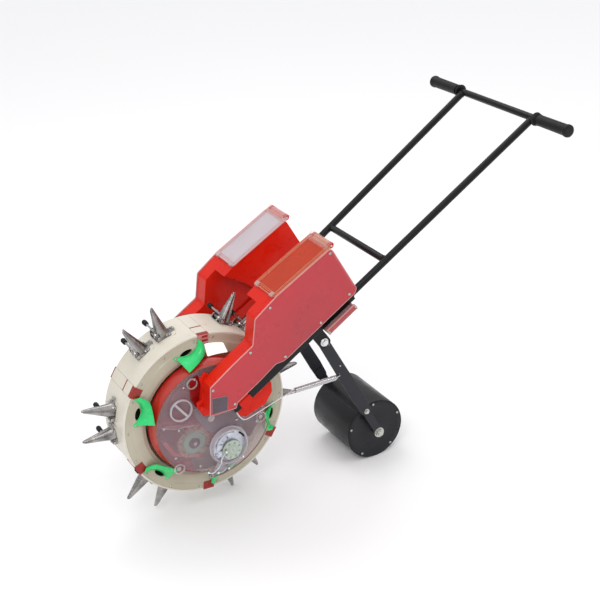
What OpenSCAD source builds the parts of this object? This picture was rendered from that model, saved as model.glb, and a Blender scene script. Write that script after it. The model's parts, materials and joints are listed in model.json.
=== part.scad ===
// Walk-behind seeder: a spiked seeding drum between two hoppers, a long push
// handle and a trailing press roller. Shapes are drawn about the drum's axle
// (X back towards the handle, Z up) and then set on the ground.

/* [Drum] */
// Outer radius of the drum rim
rim_r = 190; // [186:1:196]
// Half of the drum's width
half_w = 52; // [48:1:54]
// Thickness of the rim
rim_t = 4; // [3:0.5:5]
// Inner radius of the drum's side discs
side_hole_r = 139; // [138:1:144]
// Radius from the axle to the tips of the beaks
tip_r = 260; // [255:1:264]
// Angle of the middle of the first pair of beaks
pair_a = 54.2; // [50:0.1:58]
// Half of the angle between the two beaks of a pair
pair_gap = 8.2; // [8:0.1:9]
// Sideways offset of the beaks from the drum's middle
beak_y = 8; // [4:1:10]

/* [Hub] */
// Radius of the clear hub cover
cover_r = 128; // [126:1:130]
// Distance from the drum's middle plane to the hub cover
cover_d = 80; // [78:0.5:80]
// Radius of the axle
axle_r = 8; // [7:0.5:9]

/* [Hoppers] */
// Distance from the middle plane to the outer face of a hopper
hopper_out = 137; // [135:1:140]
// Distance from the middle plane to the inner face of a hopper
hopper_in = 53; // [53:1:56]
// Wall thickness of the hoppers and clear plates
wall = 3; // [2:0.5:3]
// Radius of the recess that clears the beaks
recess_r = 278; // [274:1:282]

/* [Handle] */
// Slope of the handle above the ground, in degrees
handle_a = 31.92; // [30:0.1:33]
// Distance from the axle to the cross grip bar
bar_s = 962.6; // [940:1:980]
// Half of the grip bar's length
bar_half = 242; // [230:1:250]
// Radius of the handle tubes
tube_r = 8; // [7:0.5:8]
// Distance from the axle to the lower cross tube
cross_s = 505; // [480:1:540]
// Opening angle of each handle tube from the middle plane
splay = 1.4; // [1.2:0.1:1.5]

/* [Press roller] */
// Radius of the press roller
roller_r = 74; // [70:1:76]
// Half of the roller's length
roller_half = 79; // [75:1:82]
// Distance of the roller behind the drum's axle
roller_x = 409.6; // [405:1:415]

/* [Hidden] */
$fn = 96;
gap = 0.3;
fit = 0.05;
eps = 1;
PAIRS = 6;
STEP = 360 / PAIRS;
ground = -tip_r * sin(pair_a - pair_gap + 4 * STEP);
roller_z = roller_r - ground;
// Hand grips: where they start, collar and body radii, and closed end
grip_d0 = 136.2;
grip_end_r = 15.5;
grip_body_r = 12.5;
grip_d1 = 247;
x_mid = (bar_s * cos(handle_a) + grip_end_r - tip_r) / 2;
beak_angles = [for (k = [0:PAIRS - 1], s = [-1, 1]) pair_a + k * STEP + s * pair_gap];
block_a0 = pair_a - 28;
block_half = 3.9;
block_r0 = 161;
block_w = 24;
tube_y0 = 104;
tube_s0 = 352;
cross_half = tube_y0 + cross_s * sin(splay) - 1;
rail_s0 = 46;
rail_s1 = 400;
rail_w = 19;
rail_h = 23;
pivot_s = 289;
pivot_n = -48;
pivot = [pivot_s * cos(handle_a) - pivot_n * sin(handle_a),
         pivot_s * sin(handle_a) + pivot_n * cos(handle_a)];
pivot_r = 5;
ear_d = 103;
ear_t = 5;
ear_w = 29;
// Depth of the recess in a hopper, where the arms also run
recess_d = 97;
arm_d = recess_d;
arm_t = 4;
arm_dx = roller_x - pivot.x;
arm_dz = roller_z - pivot.y;
arm_len = norm([arm_dx, arm_dz]);
arm_a = atan2(arm_dz, arm_dx);
// Hole for the tension spring's hook, along and across an arm
hook_at = [104, -8];
hook_r = 2.5;
hook = pivot + [hook_at.x * cos(arm_a) - hook_at.y * sin(arm_a),
                hook_at.x * sin(arm_a) + hook_at.y * cos(arm_a)];
roller_axle_r = 6;
nut_r = 10;
// Ends of the tension spring, as [x, depth, z]
spring_from = [296, 108, 15];
spring_to = [180, 117, 24];
// Gear train inside the hub
gear_m = 5;
ring_n = 45;
meter_n = 7;
brush_n = 19;
ring_r = gear_m * ring_n / 2;
bush_r = 13;
gear_d = 3;
gear_w = 6;
tooth_w = [1.9, 3.9];
space_w = [3, 5.3];
tooth_h = [2.8, 3.8];
shaft_r = 4;
meter_a = -67;
brush_a = -130;
meter_c = (ring_r - gear_m * meter_n / 2) * [cos(meter_a), sin(meter_a)];
brush_c = (ring_r - gear_m * brush_n / 2) * [cos(brush_a), sin(brush_a)];
// Flat disc at the back of the hub, and its cover's lobe
hub_r = 104;
hub_d = 12;
lobe_r = 146;
case_c = [32, -75];
case_r = 42;
case_h = 13;
meter_r = 23;
brush_r = 38;
brush_d = 62;
plug_c = [-68, 47];
plug_r = 26;
// Hinge of a beak's jaw, along and across the beak
jaw_hinge = [198, 16];
jaw_pin_r = 2;
// Opening lever of a jaw and its rubber cap
lever = [206.5, 14.5];
lever_r = 2.5;
cap_r = 5.8;
cap_h = 16;
cap_end = 58;
seed_hole_r = 8;
// Side view of a hopper, clockwise from its outlet
hopper_pts = [[-24, 48], [-18, 109], [34, 143], [86, 175], [96, 234], [147, 270],
              [281, 342], [337, 236], [331, 228], [168, 131], [95, 95], [36, 60], [31, 47]];
plate_pts = [[-27, 45], [-20, 111], [33, 146], [84, 177], [94, 235], [146, 272],
             [282, 345], [340, 235], [334, 224], [164, 123], [152, 118], [134, 117],
             [96, 91], [39, 57], [34, 44]];
spout_pts = [[-27, 46], [-16, 104], [-4, 118], [8, 108], [33, 100], [33, 44], [0, 40]];
plate_screws = [[-15, 104], [77, 163], [130, 251], [278, 333], [320, 227], [247, 181], [157, 128], [31, 56]];
lid_front = hopper_pts[5];
lid_rear = hopper_pts[6];
lid_a = atan2(lid_rear.y - lid_front.y, lid_rear.x - lid_front.x);
lid_len = norm(lid_rear - lid_front);
lid_pin = lid_rear + [6, 3];
lid_pin_r = 2.5;
// Hinge knuckles of a hopper: depths, width and radius
knuckle_d = [60, 124];
knuckle_w = 6;
knuckle_r = 7;
// Lid: inner edge, width and thickness
lid_d = 50;
lid_w = 86.5;
lid_t = 3;
screw_r = 4;
screw_h = 2.5;
cover_screws = [[112, 120], [112, 172], [112, 215], [112, 250], [112, 105], [112, -22],
                [60, -20], [78, 180], [122, -102], [138, -40]];
bracket_pts = [[46, 22], [58, -6], [74, -14], [124, 2], [142, 26], [142, 48], [116, 84], [92, 68], [66, 46]];

// Corner-by-corner inset of a clockwise outline
function unit(v) = v / norm(v);
function inward(a, b) = let (u = unit(b - a)) [u.y, -u.x];
function inset(p, d) = let (n = len(p)) [for (i = [0:n - 1])
    let (m = inward(p[(i + n - 1) % n], p[i]), k = inward(p[i], p[(i + 1) % n]))
    p[i] + (m + k) * d / (1 + m * k)];
function polar(r, a) = [r * cos(a), r * sin(a)];
// Outline of a gear: tip, root and half widths of a tooth at each
function gear_pts(n, tip, root, tip_w, root_w, a0) = [for (i = [0:n - 1],
    q = [[root, -root_w], [tip, -tip_w], [tip, tip_w], [root, root_w]])
    polar(q[0], a0 + i * 360 / n + asin(q[1] / q[0]))];

// Places everything with the ground at z = 0
module placed() { translate([-x_mid, 0, ground]) children(); }
// A side-view outline given depth, from d0 to d1 on the near side
module side_view(d0, d1) { rotate([90, 0, 0]) translate([0, 0, d0]) linear_extrude(d1 - d0) children(); }
// A profile of [radius, depth] turned about the axle
module turned(a0 = 0, sweep = 360) {
    rotate([90, 0, 0]) rotate([0, 0, a0]) rotate_extrude(angle = sweep) children();
}
module far() { mirror([0, 1, 0]) children(); }
module both() { children(); mirror([0, 1, 0]) children(); }
// A rod along Y from depth d0 to d1 at a side-view point
module rod(c, r, d0, d1) { translate([c.x, -d0, c.y]) rotate([90, 0, 0]) cylinder(r = r, h = d1 - d0); }
// Local frame of the near handle tube: X along it, Z square to it
module on_tube() { translate([0, -tube_y0, 0]) rotate([0, -handle_a, 0]) rotate([0, 0, -splay]) children(); }
module tube_solid(s0, s1, r) { translate([s0, 0, 0]) rotate([0, 90, 0]) cylinder(r = r, h = s1 - s0); }
// Local frame of a beak: X outwards, Z along the rim
module on_beak(a) { rotate([0, -a, 0]) translate([0, beak_y, 0]) children(); }

bar_c = [bar_s * cos(handle_a), bar_s * sin(handle_a)];

// ---------------- handle and frame ----------------
module grip_bar() {
    color([0.07, 0.07, 0.07]) placed() {
        rod(bar_c, tube_r, -bar_half, bar_half);
    }
}

module grip() {
    color([0.05, 0.05, 0.05]) placed() rotate([90, 0, 0]) translate([bar_c.x, bar_c.y, 0])
        rotate_extrude() polygon([[tube_r + fit, grip_d0], [grip_end_r, grip_d0], [grip_end_r, grip_d0 + 2.8],
            [grip_body_r, grip_d0 + 4.8], [grip_body_r + 0.5, grip_d1 - 11], [grip_body_r + 1.7, grip_d1 - 9],
            [grip_body_r + 1.7, grip_d1 - 2], [grip_body_r - 0.5, grip_d1], [0, grip_d1], [0, bar_half + fit],
            [tube_r + fit, bar_half + fit]]);
}

module handle_tube() {
    color([0.07, 0.07, 0.07]) placed() difference() {
        on_tube() tube_solid(tube_s0, bar_s, tube_r);
        rod(bar_c, tube_r + fit / 5, -bar_half, bar_half);
    }
}

module cross_tube() {
    color([0.07, 0.07, 0.07]) placed() difference() {
        rod(cross_s * [cos(handle_a), sin(handle_a)], tube_r, -cross_half, cross_half);
        both() on_tube() tube_solid(cross_s - 40, cross_s + 40, tube_r + fit / 5);
    }
}

module rail_body(grow = 0) {
    translate([rail_s0, -rail_w / 2 - grow, -rail_h / 2 - grow])
        cube([rail_s1 - rail_s0, rail_w + 2 * grow, rail_h + 2 * grow]);
}

module rail() {
    color([0.08, 0.08, 0.08]) placed() difference() {
        union() {
            on_tube() rail_body();
            rotate([0, -handle_a, 0]) translate([pivot_s - ear_w / 2, -ear_d - ear_t, pivot_n - 14])
                cube([ear_w, ear_t, 56]);
        }
        on_tube() tube_solid(tube_s0, rail_s1 + eps, tube_r);
        rod(pivot, pivot_r, ear_d - 1, ear_d + ear_t + 1);
    }
}

module axle() { color([0.6, 0.6, 0.62]) placed() rod([0, 0], axle_r, -cover_d + 1, cover_d - 1); }

// ---------------- hub ----------------
module hub_housing() {
    color([0.85, 0.12, 0.1]) placed() difference() {
        union() {
            turned(18, 234) polygon([[hub_r, hub_d], [133, 46], [135, 52], [134, 66], [cover_r, cover_d],
                [cover_r - wall, cover_d], [131, 66], [132, 52], [130, 47], [hub_r - 2, hub_d + wall]]);
            turned() translate([axle_r, hub_d]) square([hub_r - axle_r, wall]);
        }
        for (c = [meter_c, brush_c]) rod(c, shaft_r + gap, hub_d - eps, hub_d + wall + eps);
    }
}

module hub_cover() {
    color([0.85, 0.8, 0.8, 0.4]) placed() difference() {
        side_view(cover_d, cover_d + wall) difference() {
            union() {
                circle(r = cover_r);
                intersection() {
                    circle(r = lobe_r);
                    polygon([[0, 0], polar(200, -100), polar(240, -60), polar(200, -20)]);
                }
            }
            polygon(inset(spout_pts, wall));
            translate(plug_c) circle(r = plug_r - 3);
            translate(meter_c) circle(r = shaft_r + gap);
        }
    }
}

module inlet_plugs() {
    color([0.95, 0.93, 0.93]) placed() both() {
        side_view(cover_d + wall, cover_d + wall + 5) translate(plug_c) difference() {
            circle(r = plug_r);
            difference() {
                circle(r = plug_r - 4);
                rotate(-55) square([2 * plug_r, 5], center = true);
            }
        }
        side_view(cover_d - 2, cover_d + wall) translate(plug_c) circle(r = plug_r - 3);
    }
}

module hub_bracket() {
    color([0.88, 0.08, 0.06]) placed() difference() {
        union() {
            side_view(cover_d + wall, recess_d - 1.7) polygon(bracket_pts);
            on_tube() translate([64, -14.5, -15]) cube([28, 25.5, 30]);
            on_tube() translate([88, -6, 12]) cube([38, 17, 3.5]);
            on_tube() translate([88, -6, -15.5]) cube([34, 17, 3.5]);
        }
        on_tube() rail_body(fit);
    }
}

// ---------------- hoppers ----------------
module hopper_outline(d) {
    side_view(recess_d + d, hopper_out + (d > 0 ? eps : 0)) polygon(inset(hopper_pts, d));
    difference() {
        side_view(hopper_in + d, recess_d + d) polygon(inset(hopper_pts, d));
        rod([0, 0], recess_r + d, hopper_in - eps, recess_d + 2 * d);
    }
}

module hopper() {
    color([0.9, 0.1, 0.07]) placed() difference() {
        union() {
            hopper_outline(0);
            side_view(cover_d + wall, recess_d) polygon(spout_pts);
            for (d = knuckle_d) rod(lid_pin, knuckle_r, d, d + knuckle_w);
        }
        hopper_outline(wall);
        side_view(cover_d, recess_d + wall + eps) polygon(inset(spout_pts, wall));
        rotate([90, 0, 0]) translate([lid_front.x, lid_front.y, hopper_in + 4]) rotate([0, 0, lid_a])
            translate([7, -12, 0]) cube([lid_len - 14, 20, hopper_out - hopper_in - 7]);
        rod(lid_pin, lid_pin_r, 55, 135);
        rod(lid_pin, knuckle_r - 0.4, knuckle_d[0] + knuckle_w, knuckle_d[1]);
    }
}

module side_plate() {
    color([0.9, 0.3, 0.3, 0.6]) placed() difference() {
        side_view(hopper_out, hopper_out + wall) polygon(plate_pts);
        for (c = plate_screws) rod(c, 2, hopper_out - 1, hopper_out + wall + 1);
    }
}

module lid_pins() { color([0.7, 0.7, 0.72]) placed() both() rod(lid_pin, lid_pin_r, 58, 132); }

module lid() {
    color([0.93, 0.88, 0.88, 0.5]) placed() difference() {
        union() {
            rotate([90, 0, 0]) translate([lid_rear.x, lid_rear.y, lid_d]) rotate([0, 0, lid_a]) {
                translate([-lid_len - 5, 1, 0]) cube([lid_len + 11, lid_t, lid_w]);
                translate([-lid_len - 1, 3.5, 5]) cube([lid_len - 10, 2.5, lid_w - 10]);
            }
            rod(lid_pin, knuckle_r - 1, knuckle_d[0] + knuckle_w + 1, knuckle_d[1] - 1);
        }
        rod(lid_pin, lid_pin_r + fit, 45, 145);
        for (d = knuckle_d) rod(lid_pin, knuckle_r + gap, d - gap, d + knuckle_w + gap);
    }
}

module tube_guards() {
    color([0.9, 0.45, 0.45, 0.6]) placed() both() on_tube() difference() {
        translate([304.5, -28, -19]) cube([83.5, 44, 13]);
        translate([304, -25, -16]) cube([85, 38, 17]);
    }
}

// ---------------- metering ----------------
module meter_cases() {
    d0 = cover_d + wall;
    color([0.85, 0.86, 0.9]) placed() both() difference() {
        union() {
            rod(case_c, case_r, d0, d0 + case_h);
            side_view(d0, d0 + 9) polygon([[8, -100], [-9, -128], [9, -134], [34, -112]]);
        }
        rod(case_c, case_r - 2.5, d0 + 2, d0 + case_h + eps);
        side_view(d0 + 2, d0 + 10) polygon([[12, -98], [-5, -126], [8, -131], [32, -110]]);
        rod(meter_c, shaft_r + gap, d0 - 1, d0 + 4);
    }
}

// Small gear that meshes with the ring inside the drum
module pinion(n, c, a) {
    r = gear_m * n / 2;
    space = meter_a + round((a - meter_a) * ring_n / 360) * 360 / ring_n;
    side_view(gear_d, gear_d + gear_w) translate(c)
        polygon(gear_pts(n, r + tooth_h[0], r - tooth_h[1], tooth_w[0], tooth_w[1],
            a + (space - a) * ring_n / n));
}

module meter_rotor() {
    color([0.7, 0.85, 0.75]) placed() {
        pinion(meter_n, meter_c, meter_a);
        rod(meter_c, shaft_r, gear_d, cover_d + wall + 11);
        rod(meter_c, meter_r, cover_d + wall + 4, cover_d + wall + 9);
    }
}

module brush_rotor() {
    color([0.45, 0.62, 0.52]) placed() {
        pinion(brush_n, brush_c, brush_a);
        rod(brush_c, shaft_r, gear_d, cover_d - 3);
        rod(brush_c, brush_r / 2 - 7, brush_d - 2, cover_d - 4);
        rod(brush_c, brush_r - 13, brush_d, brush_d + 10);
        side_view(brush_d + 2, brush_d + 8) translate(brush_c)
            polygon(gear_pts(36, brush_r, brush_r - 6, 2.1, 1.6, 0));
    }
}

// ---------------- drum ----------------
module drum_rim() {
    color([0.9, 0.87, 0.78]) placed() difference() {
        for (k = [0:PAIRS - 1]) {
            a = block_a0 + k * STEP;
            turned(a + block_half + 0.1, STEP - 2 * block_half - 0.2)
                translate([rim_r - rim_t, -half_w]) square([rim_t, 2 * half_w]);
            turned(a - block_half, 2 * block_half)
                translate([rim_r - rim_t, -half_w]) square([rim_t, 2 * half_w]);
        }
        for (a = beak_angles) on_beak(a)
            translate([rim_r - rim_t - 2, 0, -2]) rotate([0, 90, 0]) cylinder(r = seed_hole_r, h = rim_t + 4);
    }
}

module side_disc() {
    color([0.8, 0.76, 0.62, 0.8]) placed() difference() {
        turned() translate([side_hole_r, half_w - wall]) square([rim_r - rim_t - side_hole_r, wall]);
        for (k = [0:PAIRS - 1]) rod(polar(163, block_a0 + 14 + k * STEP), 6, half_w - wall - 1, half_w + 1);
    }
}

module drum_web() {
    color([0.82, 0.78, 0.66]) placed() difference() {
        union() {
            rod([0, 0], rim_r - rim_t, -2, 2);
            rod([0, 0], bush_r, -10, 10);
            rod([0, 0], ring_r + 10, -10, 10);
        }
        for (d = [2, -11]) side_view(d, d + 9) difference() {
            polygon(gear_pts(ring_n, ring_r + tooth_h[1], ring_r - tooth_h[0], space_w[0], space_w[1],
                meter_a));
            circle(r = bush_r);
        }
        rod([0, 0], axle_r + fit, -12, 12);
    }
}

module red_blocks() {
    color([0.72, 0.2, 0.18]) placed() for (k = [0:PAIRS - 1]) rotate([0, -(block_a0 + k * STEP), 0]) {
        both() translate([block_r0, -half_w - wall, -block_w / 2])
            cube([rim_r - block_r0, wall - fit / 5, block_w]);
        translate([rim_r + 0.1, -15, -block_w / 2 - 1]) cube([1.6, 1.8, block_w + 2]);
    }
}

// Chute that lifts seed from the hub into a pair of beaks
module seed_guide() {
    corners = [[172, 5.4, 55], [170, 7, 53.5], [158, 23, 53.5], [141, 22, 60], [138.5, 17, 77], [142, 1, 66]];
    hull() for (c = corners) {
        p = polar(c[0], c[1]);
        translate([p.x, -c[2], p.y]) cube(2, center = true);
    }
}

module seed_guides() {
    color([0.2, 0.85, 0.5]) placed() for (k = [0:PAIRS - 1])
        both() rotate([0, -(block_a0 + k * STEP), 0]) seed_guide();
}

// Four-sided spike between an X-Z outline and an X-Y outline
module spike(side, front) {
    intersection() {
        rotate([90, 0, 0]) linear_extrude(60, center = true) polygon(side);
        linear_extrude(60, center = true) polygon(front);
    }
}

module beaks() {
    x0 = rim_r + 0.2;
    color([0.6, 0.6, 0.6]) placed() for (a = beak_angles) on_beak(a) difference() {
        union() {
            difference() {
                spike([[x0, -15], [x0, 12], [tip_r, 1.2], [tip_r, -1.2]],
                      [[x0, -15], [x0, 15], [tip_r, 1], [tip_r, -1]]);
                spike([[x0 - 2, -12.8], [x0 - 2, 18], [tip_r - 4, 8], [tip_r - 14, -0.6]],
                      [[x0 - 2, -13.4], [x0 - 2, 13.4], [tip_r - 8, 0]]);
            }
            translate([x0, -20, -14]) cube([1.6, 40, 36]);
            for (y = [-19, 16.5]) translate([x0, y, jaw_hinge.y - 5]) {
                cube([jaw_hinge.x - x0, 2.5, 10]);
                translate([jaw_hinge.x - x0, 2.5, 5]) rotate([90, 0, 0]) cylinder(r = 5, h = 2.5);
            }
        }
        translate([x0 - 1, 0, -2]) rotate([0, 90, 0]) cylinder(r = seed_hole_r, h = 4);
        translate([jaw_hinge.x, 25, jaw_hinge.y]) rotate([90, 0, 0]) cylinder(r = jaw_pin_r, h = 50);
    }
}

module beak_pins() {
    color([0.7, 0.7, 0.7]) placed() for (a = beak_angles) on_beak(a)
        translate([jaw_hinge.x, 22, jaw_hinge.y]) rotate([90, 0, 0])
            cylinder(r = jaw_pin_r, h = 44, $fn = 24);
}

// Spring-shut half of a beak with its rubber-tipped opening lever
module jaw(i) {
    tip_x = tip_r - 3;
    color([0.5, 0.5, 0.5]) placed() on_beak(beak_angles[i - 1]) {
        difference() {
            union() {
                spike([[jaw_hinge.x, 14], [jaw_hinge.x, 17], [tip_x, 3.6], [tip_x, 2.2]],
                      [[jaw_hinge.x, -12], [jaw_hinge.x, 12], [tip_x, 1], [tip_x, -1]]);
                translate([jaw_hinge.x, 14, jaw_hinge.y]) rotate([90, 0, 0]) cylinder(r = 4, h = 28);
                translate([lever.x, cap_end - cap_h + 1, lever.y]) rotate([90, 0, 0])
                    cylinder(r = lever_r, h = cap_end - cap_h + 1);
            }
            translate([jaw_hinge.x, 15, jaw_hinge.y]) rotate([90, 0, 0])
                cylinder(r = jaw_pin_r + fit, h = 30);
        }
        translate([lever.x, cap_end, lever.y]) rotate([90, 0, 0]) cylinder(r = cap_r, h = cap_h);
    }
}

module drum_screws() {
    color([0.75, 0.75, 0.75]) placed() {
        for (a = beak_angles, y = [-18, 18]) on_beak(a)
            translate([rim_r + 1.9, y, -10]) rotate([0, 90, 0]) cylinder(r = 3, h = 2, $fn = 24);
        for (k = [0:PAIRS - 1], da = [7, 30, 53]) both()
            rod(polar(rim_r - 10, block_a0 + da + k * STEP), 2.5, half_w + 0.01, half_w + 2, $fn = 24);
    }
}

// ---------------- press roller ----------------
module arm() {
    color([0.17, 0.17, 0.19]) placed() difference() {
        rotate([90, 0, 0]) translate([pivot.x, pivot.y, arm_d]) rotate([0, 0, arm_a]) linear_extrude(arm_t) {
            circle(r = 13);
            translate([arm_len, 0]) circle(r = 11);
            polygon([[0, -12.7], [0, 12.7], [200, 15], [235, 11], [arm_len, 10.6],
                [arm_len, -10.6], [235, -13], [200, -15]]);
        }
        rod(pivot, pivot_r + fit, arm_d - 1, arm_d + arm_t + 1);
        rod([roller_x, roller_z], roller_axle_r, arm_d - 1, arm_d + arm_t + 1);
        rod(hook, hook_r, arm_d - 1, arm_d + arm_t + 1);
    }
}

module roller_axle() {
    half = arm_d + arm_t + 4;
    color([0.6, 0.6, 0.6]) placed() rod([roller_x, roller_z], roller_axle_r, -half, half);
}

module arm_nuts() {
    color([0.7, 0.7, 0.7]) placed() both() difference() {
        union() {
            rod([roller_x, roller_z], nut_r, arm_d + arm_t, arm_d + arm_t + 4, $fn = 6);
            rod([roller_x, roller_z], nut_r - 1, roller_half + 0.5, arm_d);
        }
        rod([roller_x, roller_z], roller_axle_r, roller_half - 1, arm_d + arm_t + 5);
    }
}

module roller_shell() {
    color([0.15, 0.15, 0.17]) placed() translate([roller_x, 0, roller_z])
        turned() translate([roller_r - wall, -roller_half + wall]) square([wall, 2 * (roller_half - wall)]);
}

module roller_ends() {
    color([0.2, 0.2, 0.22]) placed() both() translate([roller_x, 0, roller_z]) {
        turned() translate([roller_axle_r + fit, roller_half - wall])
            square([roller_r - roller_axle_r - fit, wall]);
        for (k = [0:4])
            rod(polar(roller_r - 8, 20 + 72 * k), 3, roller_half + 0.01, roller_half + 2, $fn = 24);
    }
}

// Straight round bar between two points given as [x, depth, z]
module bar(p, q, r) {
    v = [q[0] - p[0], p[1] - q[1], q[2] - p[2]];
    translate([p[0], -p[1], p[2]]) rotate([0, acos(v.z / norm(v)), atan2(v.y, v.x)])
        cylinder(r = r, h = norm(v));
}

module tension_spring() {
    color([0.8, 0.8, 0.8]) placed() {
        bar(spring_from, spring_to, 6);
        bar([304, 105, 14.4], spring_from + [0.1, 0, 0], 2);
    }
}

module spring_rod() {
    color([0.8, 0.8, 0.8]) placed() {
        bar(spring_to + [-1.6, 0.1, 0], [62, 128, -4], 1.5);
    }
}

// ---------------- fasteners of the frame ----------------
module fasteners() {
    color([0.8, 0.8, 0.8]) placed() both() {
        for (c = plate_screws)
            rod(c, screw_r, hopper_out + wall + 0.01, hopper_out + wall + screw_h, $fn = 24);
        for (c = cover_screws)
            rod(polar(c[0], c[1]), screw_r - 0.5, cover_d + wall + 0.01, cover_d + wall + screw_h, $fn = 24);
        rod(pivot, pivot_r, arm_d - 6, ear_d + ear_t);
        rod(pivot, 8, ear_d + ear_t, ear_d + ear_t + 5, $fn = 6);
        rod(pivot, 9, arm_d - 6, arm_d - 0.5);
    }
}

grip_bar();
grip();  // grip_near
far() grip();  // grip_far
handle_tube();  // tube_near
far() handle_tube();  // tube_far
cross_tube();
rail();  // rail_near
far() rail();  // rail_far
axle();
hub_housing();  // hub_housing_near
far() hub_housing();  // hub_housing_far
hub_cover();  // hub_cover_near
far() hub_cover();  // hub_cover_far
hub_bracket();  // hub_bracket_near
far() hub_bracket();  // hub_bracket_far
hopper();  // hopper_near
far() hopper();  // hopper_far
side_plate();  // side_plate_near
far() side_plate();  // side_plate_far
lid_pins();
lid();  // lid_near
far() lid();  // lid_far
tube_guards();
meter_cases();
inlet_plugs();
fasteners();
drum_rim();
side_disc();  // side_disc_near
far() side_disc();  // side_disc_far
drum_web();
red_blocks();
seed_guides();
beaks();
beak_pins();
drum_screws();
meter_rotor();  // meter_rotor_near
far() meter_rotor();  // meter_rotor_far
brush_rotor();  // brush_rotor_near
far() brush_rotor();  // brush_rotor_far
arm();  // arm_near
far() arm();  // arm_far
roller_axle();
arm_nuts();
roller_shell();
roller_ends();
tension_spring();
spring_rod();
jaw(1);  // jaw_1
jaw(2);  // jaw_2
jaw(3);  // jaw_3
jaw(4);  // jaw_4
jaw(5);  // jaw_5
jaw(6);  // jaw_6
jaw(7);  // jaw_7
jaw(8);  // jaw_8
jaw(9);  // jaw_9
jaw(10);  // jaw_10
jaw(11);  // jaw_11
jaw(12);  // jaw_12
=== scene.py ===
import json
import random
from math import asin, atan2, cos, hypot, pi, radians, sin, sqrt, tau

import bmesh
import bpy
from mathutils import Matrix, Vector

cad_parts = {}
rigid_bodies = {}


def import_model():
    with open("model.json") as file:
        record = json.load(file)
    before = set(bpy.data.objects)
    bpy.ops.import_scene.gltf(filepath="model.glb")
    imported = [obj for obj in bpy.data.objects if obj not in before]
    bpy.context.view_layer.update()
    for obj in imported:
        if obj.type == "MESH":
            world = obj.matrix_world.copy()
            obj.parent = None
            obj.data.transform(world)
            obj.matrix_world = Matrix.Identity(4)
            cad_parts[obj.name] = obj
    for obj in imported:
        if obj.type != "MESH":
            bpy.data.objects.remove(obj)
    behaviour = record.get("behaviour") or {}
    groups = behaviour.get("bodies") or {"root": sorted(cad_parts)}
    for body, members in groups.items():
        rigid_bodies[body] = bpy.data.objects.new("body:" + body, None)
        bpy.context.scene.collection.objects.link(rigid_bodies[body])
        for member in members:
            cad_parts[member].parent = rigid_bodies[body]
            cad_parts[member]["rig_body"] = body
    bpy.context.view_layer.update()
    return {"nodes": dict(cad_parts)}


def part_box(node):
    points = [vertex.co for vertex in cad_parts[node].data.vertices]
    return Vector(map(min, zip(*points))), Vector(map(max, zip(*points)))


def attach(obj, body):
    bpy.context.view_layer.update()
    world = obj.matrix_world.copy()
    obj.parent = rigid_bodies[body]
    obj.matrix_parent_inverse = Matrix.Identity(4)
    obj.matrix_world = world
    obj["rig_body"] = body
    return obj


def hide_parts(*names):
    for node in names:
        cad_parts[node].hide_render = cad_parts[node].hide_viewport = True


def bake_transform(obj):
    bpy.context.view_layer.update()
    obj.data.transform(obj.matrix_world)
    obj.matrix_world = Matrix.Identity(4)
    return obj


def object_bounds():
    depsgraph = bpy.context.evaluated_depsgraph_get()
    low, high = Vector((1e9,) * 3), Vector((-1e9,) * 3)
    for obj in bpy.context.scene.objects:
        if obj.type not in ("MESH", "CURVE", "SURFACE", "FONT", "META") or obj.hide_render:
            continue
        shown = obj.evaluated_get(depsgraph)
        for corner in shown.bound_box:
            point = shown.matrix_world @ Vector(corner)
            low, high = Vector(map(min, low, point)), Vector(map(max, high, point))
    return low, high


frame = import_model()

# Every shape below is drawn in millimetres about the drum's axle: X back to the
# handle, Y to the far side, Z up. "Depth" is the distance from the middle plane.
rng = random.Random(11)
axle_lo, axle_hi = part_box("axle")
AXLE = (axle_lo + axle_hi) / 2
TO_ROW = Matrix.Translation(AXLE) @ Matrix.Diagonal((0.001, 0.001, 0.001, 1))

RIM_R, HALF_W, HOLE_R, TIP_R = 190, 52, 139, 260
BEAK_Y, PAIR_A, PAIR_GAP = 8, 54.2, 8.2
COVER_R, COVER_D, WALL = 128, 80, 3
OUT, INN, RECESS_R = 137, 53, 278
HANDLE_A, BAR_S, BAR_HALF, TUBE_R, CROSS_S, SPLAY, TUBE_Y = 31.92, 962.6, 242, 8, 505, 1.4, 104
ROLLER_R, ROLLER_HALF, ROLLER_X = 74, 79, 409.6
BLOCK_A = PAIR_A - 28
BEAK_ANGLES = [PAIR_A + 60 * k + s * PAIR_GAP for k in range(6) for s in (-1, 1)]
GROUND = -TIP_R * sin(radians(PAIR_A - PAIR_GAP + 240))
ROLLER = (ROLLER_X, ROLLER_R - GROUND)


def polar(r, a):
    return (r * cos(radians(a)), r * sin(radians(a)))


BAR = polar(BAR_S, HANDLE_A)
ARM_D = 97
_c, _s = cos(radians(HANDLE_A)), sin(radians(HANDLE_A))
PIVOT = (289 * _c + 48 * _s, 289 * _s - 48 * _c)
ARM_A = atan2(ROLLER[1] - PIVOT[1], ROLLER[0] - PIVOT[0])
ARM_LEN = hypot(ROLLER[1] - PIVOT[1], ROLLER[0] - PIVOT[0])
BRUSH_N, RING_N, METER_N, METER_A, BRUSH_A = 19, 45, 7, -67, -130
METER_C = polar(5 * (RING_N - METER_N) / 2, METER_A)
BRUSH_C = polar(5 * (RING_N - BRUSH_N) / 2, BRUSH_A)
BRUSH_GAP = METER_A + round((BRUSH_A - METER_A) * RING_N / 360) * 360 / RING_N
BRUSH_TOOTH = BRUSH_A + (BRUSH_GAP - BRUSH_A) * RING_N / BRUSH_N
CASE_C, CASE_R, METER_R = (32, -75), 42, 23
PLUG_C, PLUG_R = (-68, 47), 26
JAW_X, JAW_Z = 198, 16
LEVER_X, LEVER_Z, CAP_R = 206.5, 14.5, 5.8

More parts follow.
